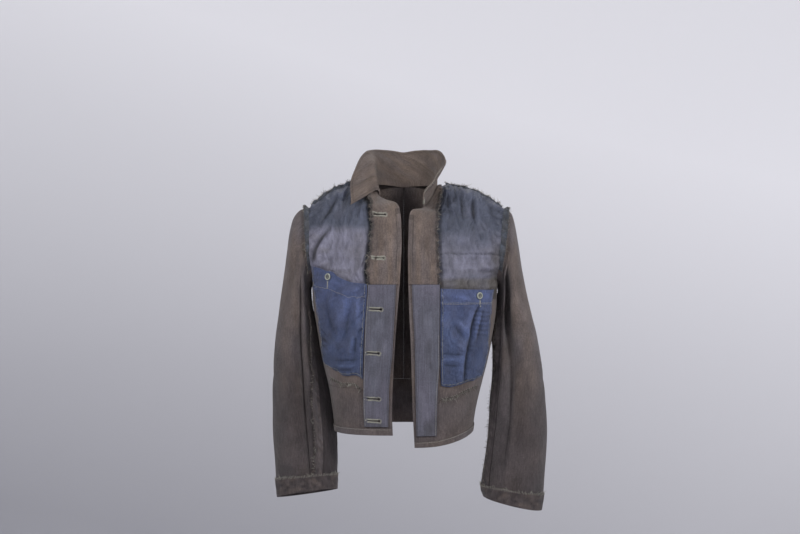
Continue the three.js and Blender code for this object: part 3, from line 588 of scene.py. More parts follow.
def in_buttonhole(side, points):
    """Which cells of a grid lie in a slit or its eye: a slot, and a disc at its inner end."""
    x, z = (
        (part[:-1, :-1] + part[:-1, 1:] + part[1:, :-1] + part[1:, 1:]) / 4
        for part in (np.abs(points[..., 0]), points[..., 2])
    )
    found = np.zeros(x.shape, bool)
    for hole_x, hole_z in BUTTONHOLES if side == "right" else ():
        along = x - hole_x
        up = z - hole_z - SLIT["tilt"] * along
        found |= (np.abs(along) < SLIT["half length"]) & (np.abs(up) < SLIT["half width"])
        found |= np.hypot(along + SLIT["half length"] - 1, up) < SLIT["eye"]
    return found


def hole_rows(side, first, last):
    """Shares of the rows from first to last that need close lines, for the buttonholes."""
    fine, rows = [], last - first
    for x, z in BUTTONHOLES if side == "right" else ():
        v = float(row_at(side, x, z))
        if first < v < last:
            middle = (v - first) / rows
            fine.append((middle - 0.24 / rows, middle + 0.24 / rows, 0.02 / rows))
    return fine


def body_piece(name, side, face, first, last, down, over):
    """A wall of the body from one row to another, draped and worn."""
    fine = hole_rows(side, first, last) if face == FRONT else ()
    v = mix(first, last, lines(down, ROW["body"] * (last - first), fine))[:, None]
    v, u = np.broadcast_arrays(v, lines(over, 220)[None, :])
    across = share_across(side, face, v, u)
    base = body_at(side, face, v, across)
    x, z = np.abs(base[..., 0]), base[..., 2]
    outward = away(side, base, BODY_CORE)
    height = (front_drape if face == FRONT else back_drape)(side, v, across, x, z)
    middle = raised(base, outward, height - WOOL / 2)
    middle[..., 1] = face * np.maximum(face * middle[..., 1], SEAM)
    middle[..., 0] = SIDES[side] * np.maximum(SIDES[side] * middle[..., 0], SEAM)
    tone = 0.4 + 0.35 * ripple(x, z, 55, 55, 5)
    stain = 0.08 + 0.4 * smooth(-z, 360, 440) + 0.14 * ripple(x, z, 24, 24, 8)
    seam = 1.6 * np.exp(-((x / 1.6) ** 2)) if face == BACK else 0  # the sunk centre-back seam
    # Folds are painted paler on top and darker below as light and shade, twice as strongly on the back,
    # where the light is flat; the sunk centre-back seam is darker.
    ridge = wear_and_shade(height, 3 if face == FRONT else 1.5) - seam
    look = {"ridge": ridge, "tone": tone, "stain": np.clip(stain, 0, 1)}
    cut = in_buttonhole(side, base) if face == FRONT else None
    made = sheet(name, middle, outward, WOOL, wool, cut=cut, **look)
    return made


ROW_GAP = SEAM / ROW["waistband"]
for side in SIDES:
    for face, part in ((FRONT, "front"), (BACK, "back")):
        last = WAIST_ROW - ROW_GAP
        panel = body_piece(f"wool_{part}_{side}", side, face, 0, last, 96, 58)
        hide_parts(f"{part}_{side}")

# ---------------------------------------------------------------- waistband
# A straight band of the same wool, sewn under the fronts and the back at the waist. It is in three
# parts, with one long piece behind from side seam to side seam.
for side in SIDES:
    band = body_piece(f"wool_waistband_{side}", side, FRONT, WAIST_ROW + ROW_GAP, LAST_ROW, 30, 58)
    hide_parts(f"waistband_front_{side}")


def back_band(first, last, down, lift, thickness, name, over=108):
    """A band round the back in one piece: the right half's shares reversed, then the left half's."""
    v = mix(first, last, lines(down, ROW["waistband"] * (last - first)))[:, None]
    halves = []
    for side, u in (("right", lines(over // 2, 220)[::-1]), ("left", lines(over // 2, 220)[1:])):
        rows, shares = np.broadcast_arrays(v, u[None, :])
        across = share_across(side, BACK, rows, shares)
        base = body_at(side, BACK, rows, across)
        halves.append((base, back_drape(side, rows, across, np.abs(base[..., 0]), base[..., 2])))
    base, height = (np.concatenate(part, axis=1) for part in zip(*halves))
    height = height * smooth(np.abs(base[..., 0]), 0, 12)
    outward = base - np.array([0, 0, -260.0])
    middle = raised(base, outward, height + lift - thickness / 2)
    middle[..., 1] = np.maximum(middle[..., 1], SEAM)
    x, z = base[..., 0], base[..., 2]
    look = {"ridge": wear_and_shade(height), "tone": 0.4 + 0.35 * ripple(x, z, 55, 55, 6), "stain": 0.25}
    made = sheet(name, middle, outward, thickness, wool, **look)
    return made


band = back_band(WAIST_ROW + ROW_GAP, LAST_ROW, 28, 0, WOOL, "wool_waistband_back")
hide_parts("waistband_back")

# ---------------------------------------------------------------- hem turn
# The waistband's lower edge, turned up 13 mm on the inside and stitched down along its top.
HEM_TURN = 13.0
TURNED = 1.5  # thickness of a turned or faced layer
FIRST_LAYER, SECOND_LAYER = 0.35, 1.7  # heights of what lies on the cloth, and of what lies on that
REACH = 0.975  # what lies on a front stops just short of the armhole and the side seam
turn_row = LAST_ROW - HEM_TURN / ROW["waistband"]
for side in SIDES:
    v = mix(turn_row, LAST_ROW, lines(12, HEM_TURN))[:, None]
    v, u = np.broadcast_arrays(v, REACH * lines(90, 140)[None, :])
    across = share_across(side, FRONT, v, u)
    base = body_at(side, FRONT, v, across)
    x, z = np.abs(base[..., 0]), base[..., 2]
    outward = away(side, base, BODY_CORE)
    pucker = 0.35 * ripple(x, z * 0, 5, 9, 21) * smooth(v, turn_row, turn_row + 0.1)
    height = front_drape(side, v, across, x, z) + FIRST_LAYER + TURNED / 2 + pucker
    middle = raised(base, outward, height)
    middle[..., 1] = np.minimum(middle[..., 1], -SEAM - 0.7)
    look = {"ridge": wear_and_shade(pucker, 0.5), "tone": 0.45 + 0.3 * ripple(x, z, 30, 30, 9), "stain": 0.3}
    hem = sheet(f"wool_hem_{side}", middle, outward, TURNED, wool, **look)
    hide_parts(f"hem_turn_{side}")
hem = back_band(turn_row, LAST_ROW, 10, FIRST_LAYER + TURNED, TURNED, "wool_hem_back")
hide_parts("hem_turn_back")

# ---------------------------------------------------------------- facings
# Each front edge is faced with a strip of the wool above, and one of hard-wearing cotton drill below,
# sewn to it. The wool's outer edge is raw and only overcast, so it stands off the lining.
FACING_SEAM = -192.0
FACING_ROWS = 9.7  # the seam's row, about
# The facings' outer edges, as distance from the middle and height.
FACING_EDGE = {
    "right": [
        (76, 40), (70, -20), (66, -36), (62, -82), (66, -123), (71, -165), (70, FACING_SEAM),
        (70.5, -212), (74, -255), (76, -305), (78.5, -373), (79, -416), (77, -471),
    ],
    "left": [
        (77, 40), (74, -20), (68.5, -36), (64.5, -90), (65, -125), (67, -164), (68.5, FACING_SEAM),
        (68.5, -290), (68.5, -350), (65, -393), (63.5, -440), (63, -487),
    ],
}
# The drill's edge towards the front edge, where a strip of the wool is left bare.
STRIP = {
    "right": [
        (15.5, FACING_SEAM), (19, -259), (23, -327), (26.5, -361), (29.5, -396), (31, -471),
    ],
    "left": [
        (15, FACING_SEAM), (17, -244), (20.5, -301), (21.5, -347), (22, -393), (24.5, -492),
    ],
}


def at_height(edge, z):
    """A line's distance from the middle at height z."""
    x, heights = np.array(edge, float).T
    return np.interp(-np.asarray(z), -heights, x)


def share_on(side, v, edge, aside=0.0):
    """The share at which a row meets a line, moved aside: found by repeating, since the row's height
    there gives the line's distance, and that gives the share."""
    share = np.full(np.shape(v), 0.3)
    for _ in range(12):
        z = body_at(side, FRONT, v, share)[..., 2]
        share = share_at(side, v, at_height(edge, z) + aside)
    return share


def front_patch(side, s, t, inner, outer, foot):
    """A layer on a front: s runs from the share inner(row) to outer(row), and t from the shoulder to
    the height foot. Gives rows, shares and the body's points."""
    v_foot = falls_to(
        lambda v: body_at(side, FRONT, v, mix(inner(v), outer(v), s))[..., 2], np.full(s.shape, foot)
    )
    v = t[:, None] * v_foot[None, :]
    across = mix(inner(v), outer(v), s[None, :])
    return v, across, body_at(side, FRONT, v, across)


for side in SIDES:
    edge = FACING_EDGE[side]
    s = lines(42, 60)
    windows = []
    for x, z in BUTTONHOLES[:2] if side == "right" else ():
        middle = float(row_at(side, x, z)) / FACING_ROWS
        windows.append((middle - 0.024, middle + 0.024, 0.002))
    t = lines(92, 190, windows)
    v, across, base = front_patch(
        side, s, t, lambda v: v * 0,
        lambda v: share_on(side, v, edge, 2.6 * ripple(v * 20, v * 0, 3.4, 9, 46)), FACING_SEAM + 0.15,
    )
    x, z = np.abs(base[..., 0]), base[..., 2]
    outward = away(side, base, BODY_CORE)
    gap = at_height(edge, z) - x  # from the raw edge
    free = smooth(z, FACING_SEAM, FACING_SEAM + 14) * smooth(-z, -12, 8)
    curl = (6.0 if side == "right" else 4.0) * smooth(-gap, -15, 0) * free
    curl = curl * (1 + 0.45 * ripple(z, x * 0, 11, 9, 41))
    curl = curl + 0.5 * ripple(z, x, 5, 9, 42) * smooth(-gap, -9, 0)
    strip = 0.55 * smooth(x - read(FRONT_EDGE[side], v)[..., 0], 9.5, 8.3) * smooth(v, 5.5, 6.2)
    crease = folds(x, z, [(31, -88, 13, -104, 0, 2.2, -1.1), (51, -43, 58, -50, 0, 2, -1.0),
                          (30, -118, 60, -172, 0, 7, 0.9), (24, -60, 30, -185, 2, 6, 0.7)])
    soft = crease + 0.5 * ripple(x, z, 14, 30, 43 + SIDES[side])
    height = front_drape(side, v, across, x, z) + SECOND_LAYER + TURNED / 2
    middle = raised(base, outward, height + curl + strip + soft * smooth(across, 0, 0.03))
    groove = (strip < 0.5) * (strip > 0.05)
    # Painted shade: a jagged dark band 3 to 5.5 mm inside the raw edge.
    edge_shade = 0.75 * smooth(ripple(z, x * 0, 3.2, 9, 47), 0, 0.5) * smooth(-gap, -5.5, -3)
    stain = 0.18 + 0.07 * SIDES[side] + 0.2 * ripple(x, z, 12, 30, 45) + edge_shade
    # The ridge paints the folds paler on top and darker below, and the groove by the turned strip dark, as
    # painted light and shade; it is paler within 3 mm of the raw edge.
    look = {
        "ridge": np.clip(soft - 2.6 * groove + 0.9 * smooth(-gap, -3, -1), -2.6, 1.2),
        "tone": 0.2 + 0.3 * ripple(x, z, 9, 40, 44),
        "stain": np.clip(stain, 0, 1),
    }
    facing = sheet(
        f"wool_facing_{side}", middle, outward, TURNED, wool, cut=in_buttonhole(side, base), **look
    )
    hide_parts(f"facing_upper_{side}")

# Cotton drill: a hard diagonal twill, washed pale along the long uneven slubs that run down it.
drill = woven(
    "washed_cotton_drill", "#605d69", "#5a5b65", "#454446",
    slub=(2.4, 50), rib=1.6, roughness=0.88, sheen=0.04, mottle=0.15, fade=0.14, depth=0.4, crush=3,
)
DRILL_FOLDS = {
    "right": [
        (44, -260, 60, -285, 0, 4, 0.8), (30, -300, 60, -350, 3, 6, 0.8),
        (50, -370, 72, -440, 0, 5, 0.9),
    ],
    "left": [
        (39, -205, 52, -212, 0, 3, -0.9), (38, -248, 52, -240, 0, 4, -0.8),
        (50, -262, 48, -300, 0, 5, 0.8), (50, -344, 52, -360, 0, 4, -0.9),
        (30, -400, 52, -470, 0, 6, 0.9),
    ],
}
FACING_FOOT = {"right": -471.0, "left": -489.0}
for side in SIDES:
    foot, edge = FACING_FOOT[side], FACING_EDGE[side]
    length = FACING_SEAM - foot
    windows = [
        ((FACING_SEAM - z) / length - 7 / length, (FACING_SEAM - z) / length + 7 / length, 0.8 / length)
        for x, z in (BUTTONHOLES[2:] if side == "right" else ())
    ]
    s, t = lines(36, 50)[None, :], lines(84, length, windows)[:, None]
    z = mix(FACING_SEAM - 0.15, foot, t)
    z, x = np.broadcast_arrays(z, mix(at_height(STRIP[side], z), at_height(edge, z), s))
    soft = 1.6 * folds(x, z, DRILL_FOLDS[side]) + 0.45 * ripple(x, z, 12, 34, 51 + SIDES[side])
    gap = at_height(edge, z) - x
    piping = 0.7 * np.exp(-(((gap - 1.2) / 1.1) ** 2))
    ruck = 0.5 * ripple(z, x * 0, 3.6, 9, 53) * np.exp(-(gap / 6) ** 2)
    inner_gap = x - at_height(STRIP[side], z)
    middle = front_at(side, x, z, SECOND_LAYER + TURNED / 2 + soft + piping + ruck)
    outward = away(side, middle, BODY_CORE)
    slubs = ripple(x, z, 1.9, 90, 54) + 0.6 * ripple(x, z, 0.9, 60, 55)
    # The ridge paints the folds and the piping paler on top, and dark lines beside the piping and along the
    # strip's edge, as painted light and shade; the slubs are washed pale.
    look = {
        "ridge": np.clip(1.1 * soft + piping * 1.3 - 0.9 * np.exp(-((gap - 3.4) / 0.9) ** 2)
                         - 0.9 * np.exp(-((inner_gap - 2) / 1) ** 2) + 0.4 * slubs, -2.4, 1),
        "tone": 0.5 + 0.4 * ripple(x, z, 20, 50, 56),
        "stain": np.clip(0.25 * ripple(x, z, 16, 26, 57) + 0.3 * smooth(-z, 440, 480), 0, 1),
    }
    facing = sheet(
        f"drill_facing_{side}", middle, outward, TURNED, drill, cut=in_buttonhole(side, middle), **look
    )
    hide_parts(f"facing_lower_{side}")

# ---------------------------------------------------------------- chest linings
# Each half of the chest is lined with rayon satin, from the shoulder to behind the pocket bag. Its
# inner edge is tucked under the facing, and it is gathered into the shoulder and armhole seams.
satin = woven(
    "rayon_satin_lining", "#71707f", "#474b59", "#55514e",
    slub=(1.6, 26), rib=0.9, roughness=0.5, sheen=0.0, mottle=0.13, fade=0.30, depth=0.15, crush=9,
)
# The pocket bags' upper edges, as distance from the middle and height: the lining is flat below them.
POCKET_MOUTH = {
    "right": [
        (72, -191), (104, -187), (128, -177), (138, -168), (150, -166), (160, -162), (172, -158),
        (182, -157),
    ],
    "left": [(70.5, -200), (104, -201), (140, -202), (178, -203)],
}
LINING_FOOT = {"right": -208.0, "left": -222.0}
LINING_TUCK = 5
UNDERARM_INSET = 6
LINING_FOLDS = {
    "right": [
        (109, -6, 123, -29, 0, 4, -3), (133, -12, 162, -66, 3, 4.5, -4.0),
        (122, -8, 148, -60, 4, 5, 1.4), (150, -86, 182, -148, -5, 4.5, -7),
        (161, -84, 188, -135, -4, 6, 2.2), (141, -90, 172, -156, -5, 7, 1.6),
        (110, -107, 119, -135, 0, 5, -1.3), (80, -172, 102, -166, 0, 4, 1.1),
        (116, -40, 117, -140, 2, 4, 1.0), (80, -30, 96, -100, 3, 6, 1.0),
        (88, -110, 96, -180, -3, 5, -1.0), (150, -150, 175, -160, 0, 4, 1.3),
        (128, -60, 140, -160, 4, 6, -1.2),
    ],
    "left": [
        (87, -16, 87, -40, 0, 3, -3), (99, -18, 99, -32, 0, 3, -2.6),
        (115, -16, 116, -68, 0, 3.5, -3.2), (107, -16, 107, -60, 0, 4, 1.3),
        (139, -22, 139, -70, 1, 4, -6), (147, -22, 147, -66, 1, 4.5, 2.4),
        (130, -22, 130, -72, 0, 4, 1.4), (150, -72, 162, -88, 0, 3, -1.6),
        (174, -38, 178, -54, 0, 3, -1.6), (165, -34, 168, -60, 0, 4, 1.2),
        (135, -147, 144, -135, 0, 3, -1.2), (140, -166, 178, -167, 1, 3.5, -1.5),
        (150, -183, 180, -172, 0, 3.5, -1.6), (145, -156, 178, -158, 1, 4, 1.4),
        (75, -189, 103, -184, 0, 3, -1.2), (124, -184, 124, -202, 0, 3, -1.2),
        (159, -184, 159, -202, 0, 3, -1.2), (80, -90, 130, -110, 4, 9, 1.3),
        (100, -150, 150, -120, 3, 8, 1.1), (84, -60, 90, -125, 0, 5, -0.9),
    ],
}
for side in SIDES:
    edge, foot = FACING_EDGE[side], LINING_FOOT[side]

    def lining_reach(v):
        """The outer end: near the armhole, and inside its lowest part."""
        under = share_at(side, v, ARMHOLE_X[side]["bottom"] - UNDERARM_INSET)
        return np.minimum(share_across(side, FRONT, v, REACH), mix(1.0, under, smooth(v, 8, 9)))

    v, across, base = front_patch(
        side, lines(104, 130), lines(120, 210), lambda v: share_on(side, v, edge, -LINING_TUCK),
        lining_reach, foot,
    )
    x, z = np.abs(base[..., 0]), base[..., 2]
    outward = away(side, base, BODY_CORE)
    gap = x - at_height(edge, z)
    mouth = np.interp(x, *np.array(POCKET_MOUTH[side], float).T)
    clear = smooth(gap, 3, 12) * smooth(z - mouth, -1, 7)
    crushed = crumple(x + 0.3 * z, z, 11, 24, 62) + 0.6 * crumple(x - 0.4 * z, z, 6, 12, 64)
    fine = 0.4 * ripple(x, z, 7, 26, 61 + SIDES[side]) + 1.25 * crushed
    gathers = 1.3 * ripple(x + 0.12 * z, z, 4.6, 60, 65) * smooth(z, -76, -20)
    puckers = 0.8 * ripple(z + 0.5 * x, x * 0, 4.2, 9, 66) * smooth(x, 160, 186)
    soft = 1.6 * folds(x, z, LINING_FOLDS[side]) + 1.3 * fine + 1.5 * gathers + 1.4 * puckers
    if side == "left":
        soft = soft - 3.6 * np.exp(-(((z + 133 + 1.2 * ripple(x, z * 0, 14, 9, 67)) / 1.1) ** 2))
    height = front_drape(side, v, across, x, z) + FIRST_LAYER + 0.5 + np.maximum(2.4 + soft, 0) * clear
    middle = raised(base, outward, height)
    low = smooth(-z, 70, 95) if side == "right" else 0.6 * smooth(-z, 60, 150)
    faded = smooth(-z, 176, 186) * (side == "left")
    # Painted shadow: the lining is shaded nearly black beside the facing's raised raw edge at the right,
    # and less at the left; the ridge also paints the folds paler on top and darker below.
    under = (1.0 if side == "right" else 0.6) * np.exp(
        -((np.maximum(gap, 0) / 8) ** 4)) * smooth(-z, -8, 20)
    look = {
        "ridge": np.clip(np.clip(soft / 2.6, -2.3, 1) - 3.2 * under, -3.2, 1),
        "tone": np.clip(1 - low + 0.25 * ripple(x, z, 26, 26, 68), 0, 1),
        "stain": np.clip(0.75 * faded + 0.35 * ripple(x, z, 22, 14, 69) * low
                         + 0.6 * smooth(x, 160, 182) * smooth(-z, 90, 150) * (side == "left"), 0, 1),
    }
    lining = sheet(f"satin_lining_{side}", middle, outward, 1.0, satin, **look)
    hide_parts(f"chest_lining_{side}")

# ---------------------------------------------------------------- pocket bags
# The inside pockets: bags of washed blue cotton, sewn flat on the lining and the wool round three
# sides. The top is hemmed and closes with a button. Each bag is one sheet, its layer nearest the eye.
cotton = woven(
    "washed_blue_cotton", "#4b5577", "#404a66", "#4f5366",
    slub=(1.6, 9), rib=1.1, roughness=0.8, sheen=0.05, mottle=0.16, fade=0.34, depth=0.4, crush=9,
)
# Each side of the outline, as distance from the middle and height.
POCKET = {
    "right": {
        "mouth": POCKET_MOUTH["right"],
        "outer": [(182, -157), (179, -203), (171.5, -249), (165, -297), (160, -343), (150.5, -354)],
        "foot": [(80.5, -377), (93, -369), (118.5, -371), (128, -364), (150.5, -354)],
        "inner": [(72, -191), (72.5, -217), (77, -284), (79, -330), (80.5, -377)],
    },
    "left": {
        "mouth": POCKET_MOUTH["left"],
        "outer": [
            (178, -203), (177, -206), (172.5, -234), (168, -281), (166.5, -316), (161, -351), (154, -375),
        ],
        "foot": [(71.5, -385), (75, -390.5), (91, -392), (110, -387.5), (130, -382.5), (154, -375)],
        "inner": [(70.5, -200), (70.5, -290), (71.5, -385)],
    },
}
POCKET_BUTTONS = {"right": (146.5, -177.5), "left": (144, -214)}  # sewn through the hem
POCKET_HEM = {
    "right": [(72, -217), (99, -217), (125, -211), (145, -202), (178, -196)],
    "left": [(70, -231), (178, -232)],
}
POCKET_FOLDS = {
    "right": [
        (90, -218, 90, -285, 1, 5, 2.0), (79, -243, 91, -260, 0, 3, -2.0),
        (77, -273, 89, -286, 0, 3, -1.8), (92.6, -292, 95, -326, 0, 3.5, -1.8),
        (98, -290, 104, -330, 0, 4, 1.4), (88, -338, 135, -341, 1, 3, -1.4),
        (92, -349, 132, -351, 2, 3, 1.3), (90, -358, 130, -360, 1, 3, -1.4),
        (163, -280, 149, -293, 0, 2.6, -1.3), (162, -296, 147, -309, 0, 2.6, -1.3),
        (160, -312, 146, -324, 0, 2.6, -1.1), (110, -222, 128, -270, 4, 8, 1.4),
        (150, -215, 132, -290, -4, 8, -1.5), (120, -290, 150, -330, 0, 7, 1.3),
        (101, -228, 112, -300, -3, 6, -1.3), (155, -175, 120, -196, 0, 5, 1.0),
        (84, -200, 100, -206, 0, 4, 1.0),
    ],
    "left": [
        (144, -233, 127, -302, 4, 4, -4.2), (127, -295, 117, -388, 3, 4, -3.8),
        (136, -236, 120, -300, 3, 6, 2.6), (119, -296, 110, -380, 3, 6, 2.2),
        (153, -238, 139, -306, 0, 4, -2.2), (147, -244, 134, -305, 0, 4, 1.8),
        (104, -262, 125, -292, 0, 4, 2.2), (102, -308, 119, -323, 0, 4, 2.0),
        (98, -272, 116, -298, 0, 4, -1.3), (73, -327, 116, -330, 0, 3, -1.5),
        (73, -338, 112, -340, 0, 3, 1.3), (73, -349, 112, -352, 0, 3, -1.5),
        (90, -215, 130, -222, 0, 4, 0.8), (80, -245, 96, -320, 4, 8, 1.2),
        (160, -300, 140, -360, 0, 6, 1.4),
    ],
}


def distances(line):
    """How far along a line each of its points lies."""
    return np.concatenate([[0], np.cumsum(np.linalg.norm(np.diff(line, axis=0), axis=1))])


def values_at(values, far, at):
    """Values that belong to the distances far along a line, read at other distances."""
    return np.stack([np.interp(at, far, part) for part in values.T], -1)


def along(line, shares):
    """Points at shares of a line's length, on a smooth curve through its points."""
    line = np.array(line, float)
    curve = read(line, np.linspace(0, len(line) - 1, 40 * len(line)))
    far = distances(curve)
    return values_at(curve, far, shares * far[-1])


def coons(outline, s, t):
    """A patch between four lines: the mix of mouth and foot, plus the mix of inner and outer side,
    less the mix of the four corners."""
    mouth, foot = (along(outline[key], s)[None, :] for key in ("mouth", "foot"))
    inner, outer = (along(outline[key], t)[:, None] for key in ("inner", "outer"))
    s, t = s[None, :, None], t[:, None, None]
    corners = mix(mix(mouth[:, :1], mouth[:, -1:], s), mix(foot[:, :1], foot[:, -1:], s), t)
    return mix(mouth, foot, t) + mix(inner, outer, s) - corners


for side in SIDES:
    s, t = lines(84, 95), lines(100, 180)
    x, z = np.moveaxis(coons(POCKET[side], s, t), -1, 0)
    x = x + 1.5 * ripple(z, x * 0, 8, 9, 77) * smooth(s, 0.8, 1)[None, :] * smooth(t, 0, 0.1)[:, None]
    z = z + 1.1 * ripple(x, z * 0, 9, 9, 78) * smooth(t, 0.85, 1)[:, None]
    inside = np.minimum(np.minimum(s, 1 - s)[None, :] * 100, (1 - t)[:, None] * 180)
    clear = smooth(inside, 0, 7)
    below = np.interp(x, *np.array(POCKET_HEM[side], float).T) - z  # below the hem's stitching
    hem = 0.55 * smooth(-below, -1, 1) - 0.9 * np.exp(-((below / 1.3) ** 2))
    fine = 0.4 * ripple(x, z, 14, 20, 73) + 0.6 * crumple(x, z + 0.4 * x, 12, 9, 71 + SIDES[side])
    if side == "left":
        comb = 0.8 * np.sin(2 * math.pi * (z + 0.15 * x) / 9.2)
        comb = comb * smooth(x, 128, 138) * smooth(-x, -170, -158)
        fine = fine + comb * smooth(-z, 236, 246) * smooth(z, -300, -288)
    pucker = 0.9 * ripple(x + z, x - z, 5, 5, 74) * np.exp(-((inside / 9) ** 2)) * smooth(inside, 0, 3)
    off_button = smooth(np.hypot(x - POCKET_BUTTONS[side][0], z - POCKET_BUTTONS[side][1]), 5, 14)
    soft = (1.4 * folds(x, z, POCKET_FOLDS[side]) + fine) * off_button
    height = np.maximum(1.6 + soft, 0.0) * clear + hem * smooth(inside, 0, 4) + pucker
    middle = front_at(side, x, z, SECOND_LAYER + 0.5 + height)
    outward = away(side, middle, BODY_CORE)
    # The ridge paints folds and puckers paler on top and darker below, and the seam line dark, as painted
    # light and shade; the left bag is paler above its hem's stitching, and every bag at its very edge.
    seam = np.exp(-(((inside - 2.6) / 1.1) ** 2))
    paler = 0.35 * smooth(-below, -1, 1) * (side == "left")
    ridge = soft / 1.6 + paler + 0.6 * np.exp(-((inside / 2) ** 2)) - 0.9 * seam + 1.6 * pucker
    look = {
        "ridge": np.clip(ridge, -2.2, 1.4),
        "tone": np.clip(smooth(-z, 200, 320) + 0.3 * ripple(x, z, 30, 30, 75), 0, 1),
        "stain": np.clip(0.3 * ripple(x, z, 12, 18, 76) + 0.12, 0, 1),
    }
    bag = sheet(f"cotton_pocket_{side}", middle, outward, 1.0, cotton, **look)
    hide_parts(f"pocket_bag_{side}")

# ---------------------------------------------------------------- collar
# One band of wool round the neck, sewn into the neckline. It stands up at the back, and its leaf is
# turned out over the right front and leans open on the left.
COLLAR_WOOL = 2.4
ROLL = 18  # length over which a section turns from stand to leaf
TUCKED = 2.5  # how far the collar reaches down inside the neckline
# Sections from the right front end round the neck to the left front end: side, face, the neckline's
# row, heights of stand and leaf, the leaf's turn from upright and its swing to the front in degrees.
COLLAR = [
    ("right", FRONT, 2.9, 14, 70, 118, 13), ("right", FRONT, 2.2, 24, 61, 122, 8),
    ("right", FRONT, 1.5, 32, 52, 117, 4), ("right", FRONT, 0.8, 41, 39, 109, 0),
    ("right", FRONT, 0.1, 50, 29, 96, 0), ("right", BACK, 0.8, 54, 23, 68, 0),
    ("right", BACK, 1.7, 53, 22, 42, 0), ("right", BACK, 3, 50, 24, 25, 0),
    ("right", BACK, 4.5, 48, 26, 17, 0), ("right", BACK, 6, 48, 26, 14, 0),
    ("left", BACK, 4.5, 48, 27, 17, 0), ("left", BACK, 3, 48, 27, 21, 0),
    ("left", BACK, 1.9, 44, 31, 24, 0), ("left", BACK, 1, 36, 32, 30, 0),
    ("left", FRONT, 0.1, 29, 30, 34, 8), ("left", FRONT, 0.8, 24, 33, 40, 26),
    ("left", FRONT, 1.5, 18, 38, 52, 48), ("left", FRONT, 2.2, 13, 45, 66, 60),
    ("left", FRONT, 2.9, 9, 52, 77, 60), ("left", FRONT, 3.8, 6, 54, 82, 49),
]
# Its creases: length along the band and height up it of both ends, bow, half width and height.
COLLAR_FOLDS = [
    (12, 40, 30, 78, 3, 6, 1.2), (40, 26, 46, 76, 0, 2.4, -2.4), (52, 30, 60, 74, 0, 6, 1.3),
    (90, 40, 80, 74, 0, 7, -1.4), (120, 30, 150, 60, 0, 8, 1.4), (200, 10, 215, 70, 0, 9, 1.3),
    (250, 10, 240, 70, 0, 8, -1.3), (300, 20, 320, 60, 0, 7, 1.2), (350, 14, 380, 50, 4, 6, -1.4),
    (385, 30, 410, 52, 0, 5, 1.2),
]


def collar_at(k, t):
    """A point of the collar: k is the section and t the share of its height. The section goes up from
    the neckline, and its angle from upright grows with a smooth step at the roll."""
    seats = [
        (*body_at(side, face, np.array(v), 0.0), *rest) for side, face, v, *rest in COLLAR
    ]
    ends = len(seats) - 1
    k, t = np.broadcast_arrays(k, t)
    x, y, z, stand, leaf, turn, swing = np.moveaxis(read(seats, np.clip(k, 0, ends)), -1, 0)
    ahead, behind = (read(seats, np.clip(k + step, 0, ends)) for step in (0.05, -0.05))
    out = np.stack([behind[..., 1] - ahead[..., 1], ahead[..., 0] - behind[..., 0]], -1)
    out /= np.linalg.norm(out, axis=-1, keepdims=True)
    point = np.stack([x - 1.4 * out[..., 0], y - 1.4 * out[..., 1], z - TUCKED], -1)
    round_up = np.radians(swing) * np.where(k > ends / 2, -1, 1)
    swung = np.stack(
        [
            out[..., 0] * np.cos(round_up) - out[..., 1] * np.sin(round_up),
            out[..., 0] * np.sin(round_up) + out[..., 1] * np.cos(round_up),
        ],
        -1,
    )
    total, pieces = (stand + leaf + TUCKED) * t, 24
    for i in range(pieces):
        gone = total * (i + 0.5) / pieces
        tipped = np.radians(turn) * smooth((gone - stand) / ROLL, -0.5, 0.5)
        point[..., :2] += swung * (np.sin(tipped) * total / pieces)[..., None]
        point[..., 2] += np.cos(tipped) * total / pieces
    return point


k, t = lines(150, 420)[None, :] * (len(COLLAR) - 1), lines(38, 78)[:, None]
base = collar_at(k, t)
k, t = np.broadcast_arrays(k, t)
length, height = lengths(base, 1), lengths(base, 0)
outward = base - np.array([0, 0, 40.0])
total = height[-1:]
edge = np.minimum(total - height, np.minimum(length, length[:, -1:] - length))
stitched = 0.6 * np.exp(-(((edge - 5.5) / 0.9) ** 2)) + 0.45 * smooth(-edge, -5, -2)
free = smooth(height, 6, 26)
creases = folds(length, height, COLLAR_FOLDS)
soft = (1.5 * creases + 0.8 * ripple(length, height, 16, 24, 81)) * free
middle = raised(base, outward, soft - 0.7 * stitched * (edge > 2) - COLLAR_WOOL / 2)
end = length[:, -1:] - length
turned_in = 1.8 * smooth(-end, -9, -7.5) - 2.6 * np.exp(-(((end - 10.5) / 1.6) ** 2))
# The ridge paints the folds paler on top and darker below, and darkens the stitched groove and the crease
# inside the turned-in end, as painted light and shade; the turned-in end itself is paler.
look = {
    "ridge": np.clip(soft / 1.6 + turned_in - 2.2 * np.exp(-(((edge - 5.5) / 1.1) ** 2)), -2.8, 2),
    "tone": 0.1 + 0.25 * ripple(length, height, 20, 20, 82),
    "stain": np.clip(0.2 * ripple(length, height, 12, 12, 83), 0, 1),
}
collar = sheet("wool_collar", middle, outward, COLLAR_WOOL, wool, **look)
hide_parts("collar")

